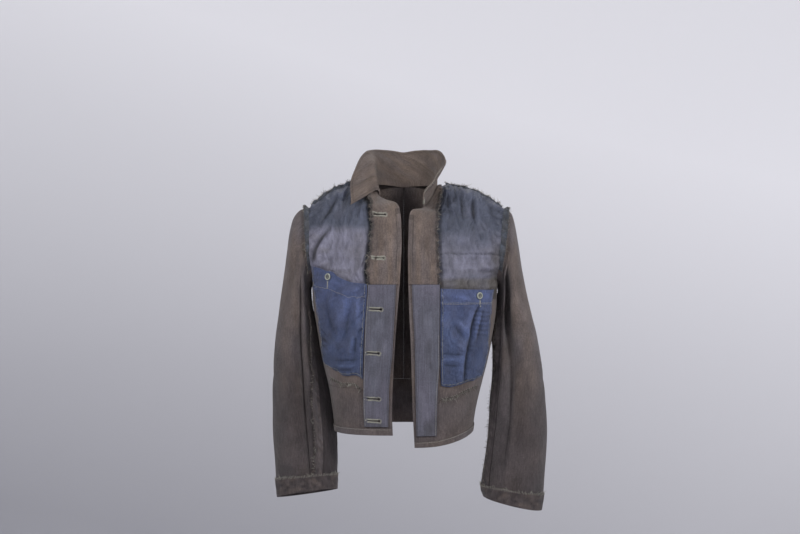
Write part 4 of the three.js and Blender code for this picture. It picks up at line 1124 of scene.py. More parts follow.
# ---------------------------------------------------------------- sleeves
# Two-piece sleeves of the same wool: a wide top sleeve and a narrow under sleeve, joined by a front
# seam and an elbow seam. Each hangs from the armhole, whose edge is its first ring.
# Rings from the armhole to the cuff: distance and height of the ends furthest from and nearest to the
# body, the middle, half the width from front to back, the rise of the front, and the front seam's angle.
SLEEVE = {
    "right": [
        (195.5, -43, 189.5, -197, 0, 56.5, 0, 160), (210, -41, 190, -208, 0, 58, 0, 159),
        (226, -60, 189, -224, 0, 60, 0, 156), (236, -98, 187.5, -243, 0, 61, 0, 152),
        (242.5, -150, 183.5, -270, 0, 61, 0, 147), (251, -210, 178, -300, -2, 60, 0, 143),
        (258.5, -275, 171.5, -335, -4, 58, 0, 141), (264.5, -345, 161.5, -380, -6, 56, 0, 138),
        (267.5, -415, 153, -427, -10, 53, 2, 134.5), (267, -482, 146, -480, -16, 50, 4, 133.5),
        (262.5, -537, 140, -532, -24, 46, 6, 130), (258.5, -586, 136.5, -575, -31, 43, 8, 124),
        (254.5, -622, 135.5, -605, -36, 41, 10, 120),
    ],
    "left": [
        (206.5, -43, 192.5, -197, 0, 56.5, 0, 145), (219, -48, 193.5, -210, 0, 58, 0, 144),
        (228, -80, 193, -228, 0, 60, 0, 141), (236, -122, 191.5, -250, 0, 61, 0, 136),
        (244, -170, 187.5, -276, 0, 61, 0, 130), (254, -222, 183.5, -306, -2, 60, 0, 129),
        (266, -276, 182, -340, -4, 58, 0, 132), (277, -336, 180.5, -380, -6, 56, 0, 137),
        (286.5, -404, 175, -430, -10, 53, 1, 139), (291, -474, 171.5, -484, -16, 50, 2, 143),
        (288, -545, 164, -540, -24, 46, 4, 143), (282, -614, 156, -596, -31, 43, 2, 141),
        (276.5, -647, 161, -620, -36, 41, 0, 140),
    ],
}
CUFF_RING = 12
RING = 48  # length of sleeve from one ring to the next, about
BACK_SEAM = 245
ARM_CORE = (220.0, -5, -375)
# The long crease down the front of each sleeve: angle, half width in degrees, depth, and its rings.
CREASE = {"right": (103, 11, 10, 2.5, 12), "left": (109, 13, 17, 1.5, 9)}
SLEEVE_FOLDS = {
    "right": [
        (98, 118, 97, 560, 0, 2.6, -6), (92, 140, 91, 520, 2, 6, 1.6),
        (112, 180, 110, 400, -2, 5, 1.4), (110, 178, 157, 184, 0, 3, -3),
        (60, 60, 20, 200, 10, 16, 2.6), (75, 90, 50, 240, 8, 12, -2.0),
        (30, 300, 80, 360, 8, 12, 2.0), (-20, 340, 40, 400, 6, 12, -2.2),
        (20, 420, 90, 450, 4, 12, 1.8), (-60, 100, -80, 320, 6, 16, 2.6),
        (-100, 330, -30, 380, -8, 11, -3.0), (-110, 350, -40, 410, -8, 11, 2.6),
        (-120, 420, -50, 470, -6, 12, -2.4), (-30, 120, -20, 330, 6, 16, -2.0),
        (64, 470, 70, 560, 0, 9, 1.4), (140, 330, 142, 470, 0, 5, 1.2),
        (-95, 480, -90, 560, 0, 9, 1.8), (168, 150, 168, 520, 0, 16, 6.5),
    ],
    "left": [
        (105, 70, 108, 270, 0, 12, -10), (83, 182, 51, 262, 6, 12, 3.4),
        (101, 340, 108, 500, 2, 5, -5), (92, 330, 98, 500, 2, 7, 1.8),
        (112, 350, 120, 480, 0, 7, 1.6), (60, 60, 30, 160, 8, 14, 2.4),
        (30, 280, 90, 330, 8, 12, -2.0), (20, 300, 84, 360, 8, 11, 2.2),
        (-20, 360, 50, 410, 6, 12, -2.2), (-60, 100, -80, 320, 6, 16, 2.6),
        (-100, 330, -30, 380, -8, 11, -3.0), (-110, 350, -40, 410, -8, 11, 2.6),
        (-120, 420, -50, 470, -6, 12, -2.4), (-30, 120, -20, 330, 6, 16, -2.0),
        (40, 450, 60, 560, 0, 12, 1.8), (10, 480, 20, 560, 0, 12, -1.6),
        (-95, 480, -90, 560, 0, 9, 1.8), (168, 50, 168, 250, 0, 16, 5.5),
    ],
}


def signed(degrees):
    """An angle brought between -180 and 180: above 0 in front, and below 0 behind."""
    return (degrees % 360 + 540) % 360 - 180


def front_seam(side, v):
    """The front seam's angle at each ring."""
    return read(SLEEVE[side], v)[..., 7]


def sleeve_at(side, v, degrees):
    """A point of a sleeve: v is the ring, and the angle is 0 furthest from the body and 90 in front.
    The crease is a trough in the ring, and the first ring blends into the armhole's edge."""
    v, degrees = np.broadcast_arrays(np.asarray(v, float), np.asarray(degrees, float))
    out_x, out_z, in_x, in_z, y, half, rise, _ = np.moveaxis(read(SLEEVE[side], v), -1, 0)
    centre, spread, deep, first, last = CREASE[side]
    fade = np.sin(math.pi * np.clip((v - first) / (last - first), 0, 1)) ** 0.6
    shrink = 1 - deep * fade * np.exp(-(((degrees - centre) / spread) ** 2)) / half
    turn = np.radians(degrees)
    x = (out_x + in_x) / 2 + (out_x - in_x) / 2 * np.cos(turn) * shrink
    z = (out_z + in_z) / 2 + (out_z - in_z) / 2 * np.cos(turn) * shrink
    front = np.sin(turn) * shrink
    ringed = np.stack([SIDES[side] * x, y - half * front, z + rise * front], -1)
    turned = signed(degrees)
    face = np.where(turned > 0, FRONT, BACK)
    rim = armhole(side, face, np.abs(turned))
    start = np.stack([SIDES[side] * (rim[..., 0] + 0.15), face * rim[..., 1], rim[..., 2]], -1)
    return mix(start, ringed, smooth(v)[..., None])


def sleeve_drape(side, v, degrees):
    """Height of a sleeve's folds, still where it is sewn."""
    a, b = degrees * 0.95, v * RING
    turned = signed(degrees)
    sewn = smooth(v, 0.1, 1.5) * mix(0.5, 1, smooth(CUFF_RING - v, 0.2, 1.6))
    seam = front_seam(side, v)
    near = np.minimum(np.abs(degrees - seam), np.abs(turned - (BACK_SEAM - 360)))
    sewn = sewn * mix(0.25, 1, smooth(near, 0, 14))
    turn = np.radians(degrees)
    around = ripple(np.cos(turn) * 60 + 200, b + 60 * np.sin(turn), 30, 46, 91)
    behind = mix(1, 1.7, smooth(-turned, 10, 40))
    soft = folds(np.where(degrees < -150, a + 342, a), b, SLEEVE_FOLDS[side])
    return (soft * behind + 1.4 * around) * sewn


def allowance_edge(side, v):
    """Where the front seam's allowance ends, a share of the way to the elbow seam, and the way it
    lies: towards the top sleeve at the right arm, and the under sleeve at the left."""
    seam = front_seam(side, v)
    if side == "right":
        return seam + (BACK_SEAM - 360 - seam) * 0.0615, -1
    return seam + (BACK_SEAM - seam) * 0.133, 1


def sleeve_piece(name, side, first, last, over, grime_and_shade):
    """A sleeve piece between two seams: first and last are angles as functions of the ring."""
    v = lines(140, 560)[:, None] * CUFF_RING
    s = lines(over, 200)[None, :]
    v, s = np.broadcast_arrays(v, s)
    degrees = mix(first(v), last(v), s)
    base = sleeve_at(side, v, degrees)
    outward = away(side, base, ARM_CORE)
    height = sleeve_drape(side, v, degrees)
    middle = raised(base, outward, height - WOOL / 2)
    inner = SIDES[side] * base[..., 0]
    middle[..., 0] = np.where(
        v < 0.6, SIDES[side] * np.maximum(SIDES[side] * middle[..., 0], inner), middle[..., 0]
    )
    around = np.cos(np.radians(degrees)) * 60
    turned = signed(degrees)
    low = smooth(v, 4, 8) if side == "right" else smooth(v, 5, 10)
    raw, way = allowance_edge(side, v)
    # Painted shadow along the raw edge of the front seam's allowance.
    shadow = 2.4 * np.exp(-(((degrees - raw - 2.2 * way) / 2.4) ** 2)) * smooth(v, 3, 4)
    if side == "left":  # painted shade of the deep fold beside the seam above the elbow
        shadow = shadow + 2.0 * smooth(degrees, raw - 26, raw - 8) * smooth(v, 1, 3) * smooth(-v, -8, -5)
    # The ridge paints the folds paler on top and darker below, more strongly behind, where the light is
    # flat.
    look = {
        "ridge": np.clip(height / mix(2.4, 1.6, smooth(-turned, 10, 40)) - shadow, -3.4, 1),
        "tone": np.clip(0.5 + 0.35 * ripple(around, v * RING, 30, 60, 92), 0, 1),
        "stain": np.clip(grime_and_shade + 0.68 * low + 0.15 * ripple(around, v * RING, 16, 30, 93), 0, 1),
    }
    made = sheet(name, middle, outward, WOOL, wool, **look)
    return made


SEAM_GAP = 0.05  # degrees
for side in SIDES:
    top = sleeve_piece(
        f"wool_sleeve_top_{side}", side, lambda v: front_seam(side, v) - SEAM_GAP,
        lambda v: v * 0 + BACK_SEAM - 360 + SEAM_GAP, 112, 0.1,
    )
    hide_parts(f"sleeve_top_{side}")
    # The under sleeve is darkened more, as painted shade where it lies recessed against the body.
    under = sleeve_piece(
        f"wool_sleeve_under_{side}", side, lambda v: v * 0 + BACK_SEAM - SEAM_GAP,
        lambda v: front_seam(side, v) + SEAM_GAP, 50, 0.4,
    )
    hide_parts(f"sleeve_under_{side}")

# ---------------------------------------------------------------- cuffs and raw edges
# Inside out, every edge shows: the cuffs' turned-up hems, the sleeves' front seams, and the two raw
# edges of the armhole and shoulder seams, which stand off the cloth and fray.

# Seam allowances of wool and lining together, faded and dusty.
allowance = woven(
    "raw_seam_allowance", "#5c5c5f", "#4a5260", "#2f3036",
    slub=(2, 4), rib=2.0, roughness=0.93, sheen=0.1, mottle=0.26, fade=0.3, depth=0.9, crush=4,
)


def edge_strip(
    name, node_name, points, outward, thickness, tone,
    ring=False, material=wool, grime_and_shade=0.5,
):
    """A narrow strip of cloth at an edge, worn and stained unevenly, and darkened by grime_and_shade:
    grime, and at the left arm's seam edge painted shade.
    """
    down = lengths(points, 0)
    around = lengths(points, 1)
    look = {
        "ridge": 1.1 * ripple(around, down, 4.5, 9, 95),
        "tone": np.clip(tone + 0.3 * ripple(around, down, 12, 6, 96), 0, 1),
        "stain": np.clip(grime_and_shade + 0.3 * ripple(around, down, 8, 5, 97), 0, 1),
    }
    made = sheet(name, points, outward, thickness, material, ring=ring, **look)
    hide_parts(node_name)
    return made


for side in SIDES:
    degrees = np.linspace(0, 360, 144, endpoint=False)[None, :]
    v = mix(CUFF_RING - 1.0, CUFF_RING, lines(14, 32))[:, None]
    base = sleeve_at(side, v, degrees)
    wrapped = (degrees - (BACK_SEAM - 360)) % 360 + BACK_SEAM - 360
    drape = sleeve_drape(side, *np.broadcast_arrays(v, wrapped))
    pucker = 0.35 * ripple(degrees * 0.8 + v * 0, v * 30, 5, 6, 98)
    outward = away(side, base, (210.0, -35, -600))
    cuff = raised(base, outward, drape + FIRST_LAYER + TURNED / 2 + pucker, ring=True)
    edge_strip(
        f"wool_cuff_{side}", f"cuff_turn_{side}", cuff, outward, TURNED, 0.3, ring=True,
        grime_and_shade=0.8,
    )
    # The front seam's allowance lies beside it, on the top sleeve at the right arm and on the under
    # sleeve at the left.
    seam_first = 4 if side == "right" else 3
    v = mix(seam_first, CUFF_RING - 1.0144, lines(120, 320))[:, None]
    seam = front_seam(side, v)
    span = allowance_edge(side, v)[0] - seam
    start = seam + np.sign(span) * SEAM_GAP
    s = lines(10, 12)[None, :]
    wave = 1 + 0.16 * ripple(v * RING, v * 0, 14, 9, 99) + 0.08 * ripple(v * RING, v * 0, 4, 9, 100)
    shape = start + span * s * np.clip(wave, 0.6, 1.05)
    base = sleeve_at(side, v, shape)
    outward = away(side, base, ARM_CORE)
    stand = 4.2 * smooth(s, 0.3, 1) * (1 + 0.7 * ripple(v * RING, s * 0, 12, 9, 101))
    stand = stand * smooth(v, seam_first, seam_first + 0.3) * smooth(CUFF_RING - 1.1 - v, 0, 0.3)
    drape = sleeve_drape(side, *np.broadcast_arrays(v, shape))
    lying = raised(base, outward, drape + FIRST_LAYER + TURNED / 2 + np.maximum(stand, 0))
    # The left arm's seam edge is darkened almost to black, as painted shade.
    edge_strip(
        f"wool_seam_edge_{side}", f"sleeve_allowance_{side}", lying, outward, TURNED, 0.6,
        grime_and_shade={"right": 0.5, "left": 1.0}[side],
    )
    # The armhole's two raw edges together, turned towards the sleeve.
    s, t = lines(130, 250)[None, :], lines(9, 12)[:, None]
    degrees = mix(122.0, -122.0, s)
    turn, taper = np.radians(degrees), np.radians(degrees * 80 / 122)
    out = np.stack([turn * 0, -np.sin(turn), np.cos(turn)], -1)
    raw = 1 + 0.3 * ripple(degrees * 1.4, degrees * 0, 6, 9, 102)
    lift = 6 * np.sqrt(np.cos(taper)) * t * raw
    sway = 1.0 * ripple(degrees * 1.4, degrees * 0, 11, 9, 103) * t
    place = sleeve_at(side, mix(0.15, 0.75, t), degrees)
    place = place + out * (0.8 + lift)[..., None]
    place[..., 0] += SIDES[side] * np.maximum(sway, -0.3)
    outward = away(side, place, (200.0, 0, -120))
    rim = SIDES[side] * sleeve_at(side, t * 0, degrees)[..., 0] + 1.3
    place[..., 0] = SIDES[side] * np.maximum(SIDES[side] * place[..., 0], rim)
    edge = raised(place, outward, np.full(place.shape[:2], 1.0))
    edge_strip(
        f"wool_armhole_edge_{side}", f"armhole_allowance_{side}", edge, outward, 2.0, 0.5,
        material=allowance, grime_and_shade=0.15,
    )
    # The shoulder's two raw edges, standing on the ridge between front and back, gathered a little.
    height = {"right": 11, "left": 7}[side]
    s, t = lines(90, 115)[None, :], lines(9, 9)[:, None]
    across = share_across(side, FRONT, 0.0, mix(0.09, 0.93, s))
    ridge = body_at(side, FRONT, np.zeros_like(across), across)
    wave = 2.2 * ripple(across * 130, across * 0, 4, 9, 104) * t
    rise = mix(1.5, height * (1 + 0.28 * ripple(across * 130, across * 0, 5, 9, 105)), t)
    place = ridge + np.stack([0 * (t + s), mix(1.1, 4.0, t) + np.maximum(wave, -0.5), rise], -1)
    outward = away(side, place, (120.0, 20, 20))
    edge = raised(place, outward, np.full(place.shape[:2], 1.0))
    edge_strip(
        f"wool_shoulder_edge_{side}", f"shoulder_allowance_{side}", edge, outward, 2.0, 0.6,
        material=allowance, grime_and_shade=0.15,
    )

# ---------------------------------------------------------------- buttons
# Pocket buttons are dished pale grey-green composition discs; the front's own buttons are larger and
# darker, on the other face of the left front. All have four holes and are sewn on with thread.
POCKET_BUTTON, FRONT_BUTTON = (7.0, 3.0, 1.0), (9.5, 3.0, 1.2)  # radius, height, dish


def moulded(name, light, dark):
    """Pressed composition: fine cloudy marbling under a worn, half-dull gloss."""
    material, tree, shader = new_material(name)
    place = node(tree, "TexCoord")
    cloud = {"Vector": place.outputs["Object"], "Scale": 260, "Detail": 5, "Distortion": 1.5}
    marbled = node(tree, "TexNoise", cloud)
    marble = node(tree, "Mix", {0: marbled, 6: linear(light), 7: linear(dark)}, data_type="RGBA")
    grime_and_shade = node(tree, "Attribute", attribute_name="stain").outputs["Fac"]
    dirty = {0: grime_and_shade, 6: marble.outputs[2], 7: linear("#3c3e42")}
    colour = node(tree, "Mix", dirty, data_type="RGBA")
    scratch = node(tree, "TexNoise", {"Vector": place.outputs["Object"], "Scale": 1800, "Detail": 3})
    rough = node(tree, "MapRange", {0: scratch, 3: 0.35, 4: 0.7})
    bump = node(tree, "Bump", {"Height": scratch, "Strength": 0.3, "Distance": 0.1 * MM})
    tree.links.new(colour.outputs[2], shader.inputs["Base Color"])
    tree.links.new(rough.outputs[0], shader.inputs["Roughness"])
    tree.links.new(bump.outputs[0], shader.inputs["Normal"])
    return material


def strands(name, paths, radius, material, **attributes):
    """Closed four-sided tubes, one along each path of (strands, points, 3), thinner at the ends. The
    rings stand square to the path: one x two points along it."""
    forward = np.gradient(paths, axis=1)
    forward /= np.linalg.norm(forward, axis=-1, keepdims=True) + 1e-9
    overall = paths[:, -1:] - paths[:, :1]
    overall /= np.linalg.norm(overall, axis=-1, keepdims=True) + 1e-9
    guide = np.where(np.abs(overall[..., 2:]) > 0.7, (1.0, 0.1, 0), (0.1, 0, 1.0))
    one = np.cross(forward, guide)
    one /= np.linalg.norm(one, axis=-1, keepdims=True) + 1e-9
    two = np.cross(forward, one)
    turn = np.arange(4) * math.pi / 2
    size = np.ones(paths.shape[1])
    size[[0, -1]] = 0.4
    size = size[None, :, None, None] * np.reshape(radius, (-1, 1, 1, 1))
    ring = one[:, :, None] * np.cos(turn)[:, None] + two[:, :, None] * np.sin(turn)[:, None]
    points = paths[:, :, None] + ring * size
    index = np.arange(points[..., 0].size).reshape(points.shape[:3])
    after = np.roll(index, -1, axis=2)
    walls = np.stack([index[:, :-1], after[:, :-1], after[:, 1:], index[:, 1:]], -1)
    faces = np.concatenate([walls.reshape(-1, 4), index[:, 0, ::-1], index[:, -1]])
    spread = {
        key: np.broadcast_to(np.reshape(values, (-1, 1, 1)), points.shape[:3]).ravel()
        for key, values in attributes.items()
    }
    made = add_mesh(name, points.reshape(-1, 3), faces, material, **spread)
    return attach(made, "root")


def lid(ring):
    """Fills a ring of points with a row of four-cornered faces from one side of it to the other."""
    half = len(ring) // 2 - 1
    back = ring[::-1]
    return np.stack([ring[:half], ring[1 : half + 1], back[1 : half + 1], back[:half]], -1)


# Half a section of a button, as shares of its radius and height, up to the dished face.
RIM = [
    (0.02, 0), (0.5, 0), (0.78, 0.02), (0.93, 0.16), (1, 0.45), (0.97, 0.75), (0.88, 0.97), (0.78, 1),
    (0.68, 0.95), (0.6, 0.8),
]


def button(name, size, middle, normal, material):
    """A turned disc with a rounded rim and a dished face, and four holes sunk in its middle."""
    radius, height, dish = size
    floor = 1 - dish / height
    profile = np.array(RIM + [(share, floor) for share in (0.5, 0.4, 0.3, 0.2, 0.1, 0.02)])
    profile = read(profile, np.linspace(0, len(profile) - 1, 32)) * (radius, height)
    turn = np.linspace(0, 2 * math.pi, 48, endpoint=False)
    r, up = (part[:, None] + turn * 0 for part in profile.T)
    a, b = r * np.cos(turn), r * np.sin(turn)
    off = (np.abs(a) - 0.2 * radius) ** 2 + (np.abs(b) - 0.2 * radius) ** 2
    face = np.arange(len(profile))[:, None] > len(profile) / 2
    up = up - 0.6 * height * floor * np.exp(-off / (0.09 * radius) ** 2) * face
    level = np.cross((0, 0, 1.0), normal)
    level /= np.linalg.norm(level)
    upward = np.cross(normal, level)
    points = middle + a[..., None] * level + b[..., None] * upward + up[..., None] * normal
    index = np.arange(a.size).reshape(a.shape)
    wall = cells(index, True).reshape(-1, 4)
    faces = np.concatenate([wall, lid(index[0])[:, ::-1], lid(index[-1])])
    worn = 0.85 * smooth(-r / radius, -0.72, -0.5) * face
    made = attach(add_mesh(name, points.reshape(-1, 3), faces, material, stain=worn.ravel()), "root")
    # Sewing thread: two bars between the holes.
    bars = []
    for sign in (-1, 1):
        share = np.linspace(-1, 1, 6)[:, None]
        arch = floor * height + 0.5 - 1.1 * share**4
        bars.append(middle + 0.2 * radius * (share * level + sign * upward) + arch * normal)
    return made, np.array(bars)


def facing_out(side, x, z, lift):
    """A point on a front and its outward direction."""
    point, above = front_at(side, x, z, lift), front_at(side, x, z, lift + 1)
    return point, (above - point) / np.linalg.norm(above - point)


grey_composition = moulded("grey_composition_button", "#a3a79b", "#7d8079")
dark_composition = moulded("dark_composition_button", "#595c54", "#3d3f3b")
sewn_on = []
for side in SIDES:
    place, out = facing_out(side, *POCKET_BUTTONS[side], SECOND_LAYER + 3.2)
    made, bars = button(f"horn_pocket_button_{side}", POCKET_BUTTON, place, out, grey_composition)
    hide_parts(f"pocket_button_{side}")
    sewn_on.append(bars)
for i, (x, z) in enumerate(BUTTONHOLES, 1):
    # A buttoned front laps over by 8 mm, and a button hangs a little below its hole's middle.
    place, out = facing_out("left", x - 8, z - 4, -WOOL - 0.1)
    made, bars = button(f"horn_front_button_{i}", FRONT_BUTTON, place, -out, dark_composition)
    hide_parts(f"front_button_{i}")
    sewn_on.append(bars)

# ---------------------------------------------------------------- stitching
# Linen and cotton thread: close buttonhole stitches round each keyhole, and lines of lockstitch along
# the hems, facings, pockets and collar. Stitches are drawn about half as thick again as real ones.


def thread_material(name, light, dark):
    """Twisted thread: two tones mixed in fine spots, dull, with a little sheen."""
    material, tree, shader = new_material(name)
    place = node(tree, "TexCoord")
    spots = node(tree, "TexNoise", {"Vector": place.outputs["Object"], "Scale": 900, "Detail": 2})
    colour = node(tree, "Mix", {0: spots, 6: linear(light), 7: linear(dark)}, data_type="RGBA")
    tree.links.new(colour.outputs[2], shader.inputs["Base Color"])
    shader.inputs["Roughness"].default_value = 0.75
    shader.inputs["Sheen Weight"].default_value = 0.2
    return material


linen = thread_material("grey_linen_thread", "#b3b1a3", "#7f7e75")
brown = thread_material("brown_sewing_thread", "#3f3833", "#24211f")
sewn_on = strands("thread_on_buttons", np.concatenate(sewn_on), 0.5, linen)


def nearest(piece, points):
    """The nearest places on a piece's surface to some points, and the outward directions there."""
    tree = BVHTree.FromObject(piece, bpy.context.evaluated_depsgraph_get())
    found = [tree.find_nearest(Vector(point * MM)) for point in points.reshape(-1, 3)]
    place, out = (np.array([hit[i] for hit in found]).reshape(points.shape) for i in (0, 1))
    return place / MM, out


def keyhole(count):
    """Even points round a buttonhole, along and up from its middle, and the ways out from them: the
    slot's two sides, most of a circle at its inner end, and half a circle at the other."""
    long, wide, eye = SLIT["half length"], SLIT["half width"], SLIT["eye"]
    first = math.asin(wide / eye)
    turn = np.linspace(first, 2 * math.pi - first, 30)
    end = np.linspace(-math.pi / 2, math.pi / 2, 12)
    round_eye = np.stack([eye * np.cos(turn) - long + 1, eye * np.sin(turn)], -1)
    round_end = np.stack([wide * np.cos(end) + long, wide * np.sin(end)], -1)
    loop = np.concatenate([[(long, wide)], round_eye, round_end])
    far = distances(loop)
    at = values_at(loop, far, np.linspace(0, far[-1], count, endpoint=False))
    step = np.roll(at, -1, axis=0) - np.roll(at, 1, axis=0)
    out = np.stack([step[:, 1], -step[:, 0]], -1)
    return at, out / np.linalg.norm(out, axis=1, keepdims=True)


CLOSED = (1.2, 0.9, 0.1, 0.1, 0.1, 0.1)  # how far each slit's stitches close it
random = np.random.default_rng(7)
stitches = []
for i, (hole_x, hole_z) in enumerate(BUTTONHOLES):
    piece = bpy.data.objects["wool_facing_right" if i < 2 else "drill_facing_right"]
    at, out = keyhole(78)
    reach = 2.7 + 0.5 * random.uniform(-1, 1, len(at))
    far = at + out * reach[:, None]
    x, z = hole_x + far[:, 0], hole_z + SLIT["tilt"] * far[:, 0] + far[:, 1]
    seat, up = nearest(piece, front_at("right", x, z, 9.0))
    sideways = np.stack([-out[:, 0], out[:, 0] * 0, out[:, 1]], -1)
    sideways -= up * (sideways * up).sum(-1, keepdims=True)
    path = [
        seat + sideways * back[:, None] + up * high
        for back, high in (
            (reach * 0, -0.3), (reach * -0.15, 0.2), (reach * -0.5, 0.35), (reach * -0.9, 0.3),
            (-reach - CLOSED[i], -0.2), (-reach - CLOSED[i], -1.4),
        )
    ]
    stitches.append(np.stack(path, axis=1))
holes = strands("buttonhole_stitching", np.concatenate(stitches), 0.31, linen)


def lockstitch(piece, guide, pitch=3.4, length=2.4):
    """A line of stitches on a piece near a guide line of points: each goes up through the cloth,
    along it and down again."""
    far = distances(guide)
    start = np.arange(1, far[-1] - length, pitch)
    ends = np.stack([start, start + length / 2, start + length], 1)
    place, out = nearest(piece, values_at(guide, far, ends))
    return np.concatenate(
        [place[:, :1] - 0.4 * out[:, :1], place + 0.22 * out, place[:, -1:] - 0.4 * out[:, -1:]], axis=1
    )


def on_front(side, line, lift=8.0):
    """A guide line above a front through (distance, height) points."""
    x, z = along(line, np.linspace(0, 1, 60)).T
    return front_at(side, x, z, lift)


pale, dark = [], []
for side in SIDES:
    facing, lower = bpy.data.objects[f"wool_facing_{side}"], bpy.data.objects[f"drill_facing_{side}"]
    bag, hem = bpy.data.objects[f"cotton_pocket_{side}"], bpy.data.objects[f"wool_hem_{side}"]
    edge = FRONT_EDGE[side]
    dark.append(lockstitch(facing, on_front(side, [(x + 9, z) for x, _, z in edge[6:10]])))
    outline = POCKET[side]
    inset = {
        "outer": [(x - 2.6, z) for x, z in outline["outer"]],
        "foot": [(x, z + 2.6) for x, z in outline["foot"]],
        "inner": [(x + 2.6, z) for x, z in outline["inner"]],
    }
    for line in inset.values():
        pale.append(lockstitch(bag, on_front(side, line)))
    for gap in (0, 3.4) if side == "left" else (0,):
        pale.append(lockstitch(bag, on_front(side, [(x, z + gap) for x, z in POCKET_HEM[side]])))
    strip, outer = STRIP[side], FACING_EDGE[side]
    low = [(x + 2, z) for x, z in strip]
    dark.append(lockstitch(lower, on_front(side, low)))
    pale.append(lockstitch(lower, on_front(side, [(x - 2.8, z) for x, z in outer if z < FACING_SEAM])))
    u = np.linspace(0.02, 0.95, 80)
    row = LAST_ROW - (HEM_TURN - 2) / ROW["waistband"]
    base = body_at(side, FRONT, u * 0 + row, share_across(side, FRONT, row, u))
    base[:, 1] -= 6
    pale.append(lockstitch(hem, base))
collar = bpy.data.objects["wool_collar"]
ends = len(COLLAR) - 1
for thread, k, t in (
    (dark, np.linspace(0.2, ends - 0.2, 200), np.full(200, 0.93)),
    (dark, np.full(30, 0.22), np.linspace(0.1, 0.93, 30)),
    (pale, np.full(30, ends - 0.25), np.linspace(0.3, 0.95, 30)),
):
    thread.append(lockstitch(collar, collar_at(k, t)))
# The hem's own buttonhole below each button, worked closed in zigzag stitches.
for side in SIDES:
    x, z = POCKET_BUTTONS[side]
    swing = 1.5 * np.where(np.arange(24) % 2, 1, -1)
    bar = front_at(side, x + 1 + swing, np.linspace(z - 8.5, z - 22, 24), 9.0)
    place, out = nearest(bpy.data.objects[f"cotton_pocket_{side}"], bar)
    place = place + 0.3 * out
    pale.append(np.stack([mix(place[:-1], place[1:], part) for part in (0, 0.3, 0.5, 0.7, 1)], axis=1))
pale_lines = strands("pale_lockstitch", np.concatenate(pale), 0.26, linen)
dark_lines = strands("dark_lockstitch", np.concatenate(dark), 0.28, brown)

# ---------------------------------------------------------------- overcasting and fraying
# The raw edges were whipped over with brown and grey thread, and the wool has frayed through it in
# short curling fibres and a few long loose ends.


def fray(line, out, up, count, size, curl, per_strand=6):
    """Loose fibres on an edge: each starts a little inside it, leans along it by chance, wanders
    outwards and curls up."""
    at = random.uniform(0, len(line) - 1.001, count)
    k, part = at.astype(int), (at % 1)[:, None]
    start, out, up = (mix(values[k], values[k + 1], part) for values in (line, out, up))
    ahead = np.gradient(line, axis=0)[k]
    ahead /= np.linalg.norm(ahead, axis=1, keepdims=True) + 1e-9
    t = np.linspace(0, 1, per_strand)[None, :, None]
    length = size * random.uniform(0.3, 1, (count, 1, 1))
    lean, rise = (random.normal(0, spread, (count, 1, 1)) for spread in (0.8, 0.3))
    wander = np.cumsum(random.normal(0, 0.16, (count, per_strand, 3)), axis=1) * t
    way = out[:, None] * (t + 0.2 * rise) + ahead[:, None] * lean * t
    way = way + up[:, None] * (rise * t + curl * t**2)
    return start[:, None] - 0.8 * out[:, None] + (way + wander) * length


# The points of an overcast stitch: share of its depth inside the edge, height and share of its slant.
WHIP = [(1, -0.3, 0), (0.85, 0.45, 0.15), (0.4, 0.5, 0.6), (-0.1, 0.3, 1), (-0.14, -0.8, 1)]


def whip(line, out, up, pitch, depth, slant=1.2):
    """Overcasting: slanted stitches from depth inside an edge, over it and a little under."""
    far = distances(line)
    at = np.arange(pitch, far[-1] - pitch, pitch)
    at = at + random.uniform(-0.3, 0.3, len(at)) * pitch
    path = []
    for inside, high, shift in WHIP:
        here = at + slant * shift * pitch * 0.5
        edge, outwards, upwards = (values_at(source, far, here) for source in (line, out, up))
        path.append(edge - outwards * depth * inside + upwards * (0.75 + high))
    return np.stack(path, axis=1)


def stretch(edge, low, high):
    """The part of an edge between two shares of its length."""
    far = lengths(edge[0][:, None], 0)[:, 0] / lengths(edge[0][:, None], 0)[-1, 0]
    kept = (far >= low) & (far <= high)
    return [values[kept] for values in edge]


FIRST_ROW, END_ROW, FIRST_COLUMN, END_COLUMN = range(4)
fibres, threads, overcast, pale_overcast = [], [], [], []
for side in SIDES:
    inner = stretch(EDGES[f"wool_facing_{side}"][END_COLUMN], 0.12, 1)
    fibres.append(fray(*inner, 280, 4.5, 0.2))
    overcast.append(whip(*inner, 3.2, 5.0))
    seam_edge = EDGES[f"wool_seam_edge_{side}"][END_COLUMN]
    fibres.append(fray(*seam_edge, {"right": 380, "left": 820}[side], 5.0, 0.5))
    threads.append(fray(*inner, 70, 4.0, 0.4))
    overcast.append(whip(*seam_edge, 5.2, 4.0))
    armhole_edge = EDGES[f"wool_armhole_edge_{side}"][END_ROW]
    fibres.append(fray(*armhole_edge, 240, 3.8, 0.1))
    threads.append(fray(*armhole_edge, 60, 6.0, 0.3))
    overcast.append(whip(*armhole_edge, 4.4, 4.0))
    shoulder_edge = EDGES[f"wool_shoulder_edge_{side}"][END_ROW]
    fibres.append(fray(*shoulder_edge, 210, 4.5, 0.1))
    threads.append(fray(*shoulder_edge, 60, 6.0, 0.3))
    overcast.append(whip(*shoulder_edge, 3.6, 3.6))
    cuff_edge = [np.concatenate([part, part[:1]]) for part in EDGES[f"wool_cuff_{side}"][FIRST_ROW]]
    fibres.append(fray(*cuff_edge, 90, 2.6, 0.2))
    pale_overcast.append(whip(*cuff_edge, 4.6, 3.6))
    threads.append(fray(*cuff_edge, 110, 5.5, 0.3))
    threads.append(fray(*stretch(seam_edge, 0.05, 1), 70, 6.0, 0.4))
    # A few long loose ends along the upper part of the sleeve's seam.
    fibres.append(fray(*stretch(seam_edge, 0.12, 0.55), 9, 15, 0.2, 14))

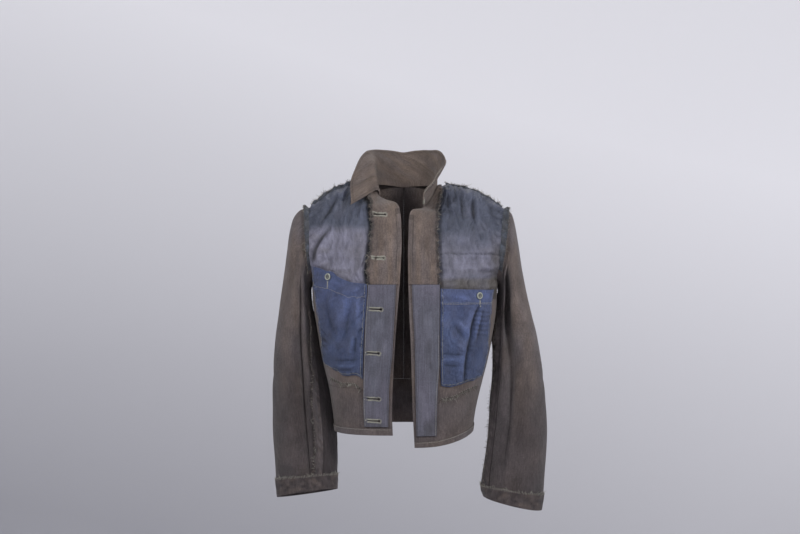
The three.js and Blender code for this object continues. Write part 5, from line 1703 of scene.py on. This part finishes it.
# The collar's left end, turned in and felled with pale thread.
for line, low in ((END_COLUMN, 0.2), (END_ROW, 0.8)):
    line, out, up = stretch(EDGES["wool_collar"][line], low, 0.98)
    for face in (1, -1):
        pale_overcast.append(whip(line, out, face * up, 3.6, 4.5))

# The side seams' raw edges, frayed between body and sleeve, with pale threads below the armpit.
for side in SIDES:
    seam = stretch(EDGES[f"wool_front_{side}"][END_COLUMN], 0.44, 1)
    fibres.append(fray(*seam, 220, 5.5, 0.4))
    overcast.append(whip(*seam, 4.4, 4.5))
    threads.append(fray(*stretch(seam, 0.1, 0.5), 30, 5.5, 0.6))

# The waist seam's raw edge, which shows as tufts just below each pocket bag.
WAIST_TUFTS = {
    "right": [(147, -379), (128, -387), (118, -389), (105, -388), (93, -391), (84, -402)],
    "left": [(70, -419), (95, -415), (120, -403), (146, -396)],
}
for side in SIDES:
    guide = on_front(side, WAIST_TUFTS[side], 4.0)
    place, up = nearest(bpy.data.objects[f"wool_front_{side}"], guide)
    out = np.broadcast_to((0, 0, -1.0), place.shape)
    fibres.append(fray(place + 0.3 * up, out, up, 90, 5.0, 0.5))
    threads.append(fray(place + 0.5 * up, out, up, 45, 6.0, 0.5))
    pale_overcast.append(whip(place, out, up, 5.2, 4.5))
    overcast.append(whip(place, out, up, 4.6, 3.0))


def short(paths, count=4):
    """Paths brought to the same number of points."""
    at = np.linspace(0, paths.shape[1] - 1, count)
    k = np.minimum(at.astype(int), paths.shape[1] - 2)
    return mix(paths[:, k], paths[:, k + 1], (at - k)[None, :, None])


fibres = np.concatenate([short(part) for part in fibres])
tones = {
    "tone": random.uniform(0, 0.6, len(fibres)),
    "stain": random.uniform(0, 0.4, len(fibres)),
    "ridge": random.uniform(-3, 2.5, len(fibres)),
}
threads = np.concatenate([short(part) for part in threads])
loose = strands("loose_lining_threads", threads, 0.22, linen)
fuzz = strands("frayed_wool_fibres", fibres, random.uniform(0.13, 0.3, len(fibres)), wool, **tones)
whipped = strands("brown_overcasting", np.concatenate(overcast), 0.5, brown)
whipped = strands("grey_overcasting", np.concatenate(pale_overcast), 0.3, linen)
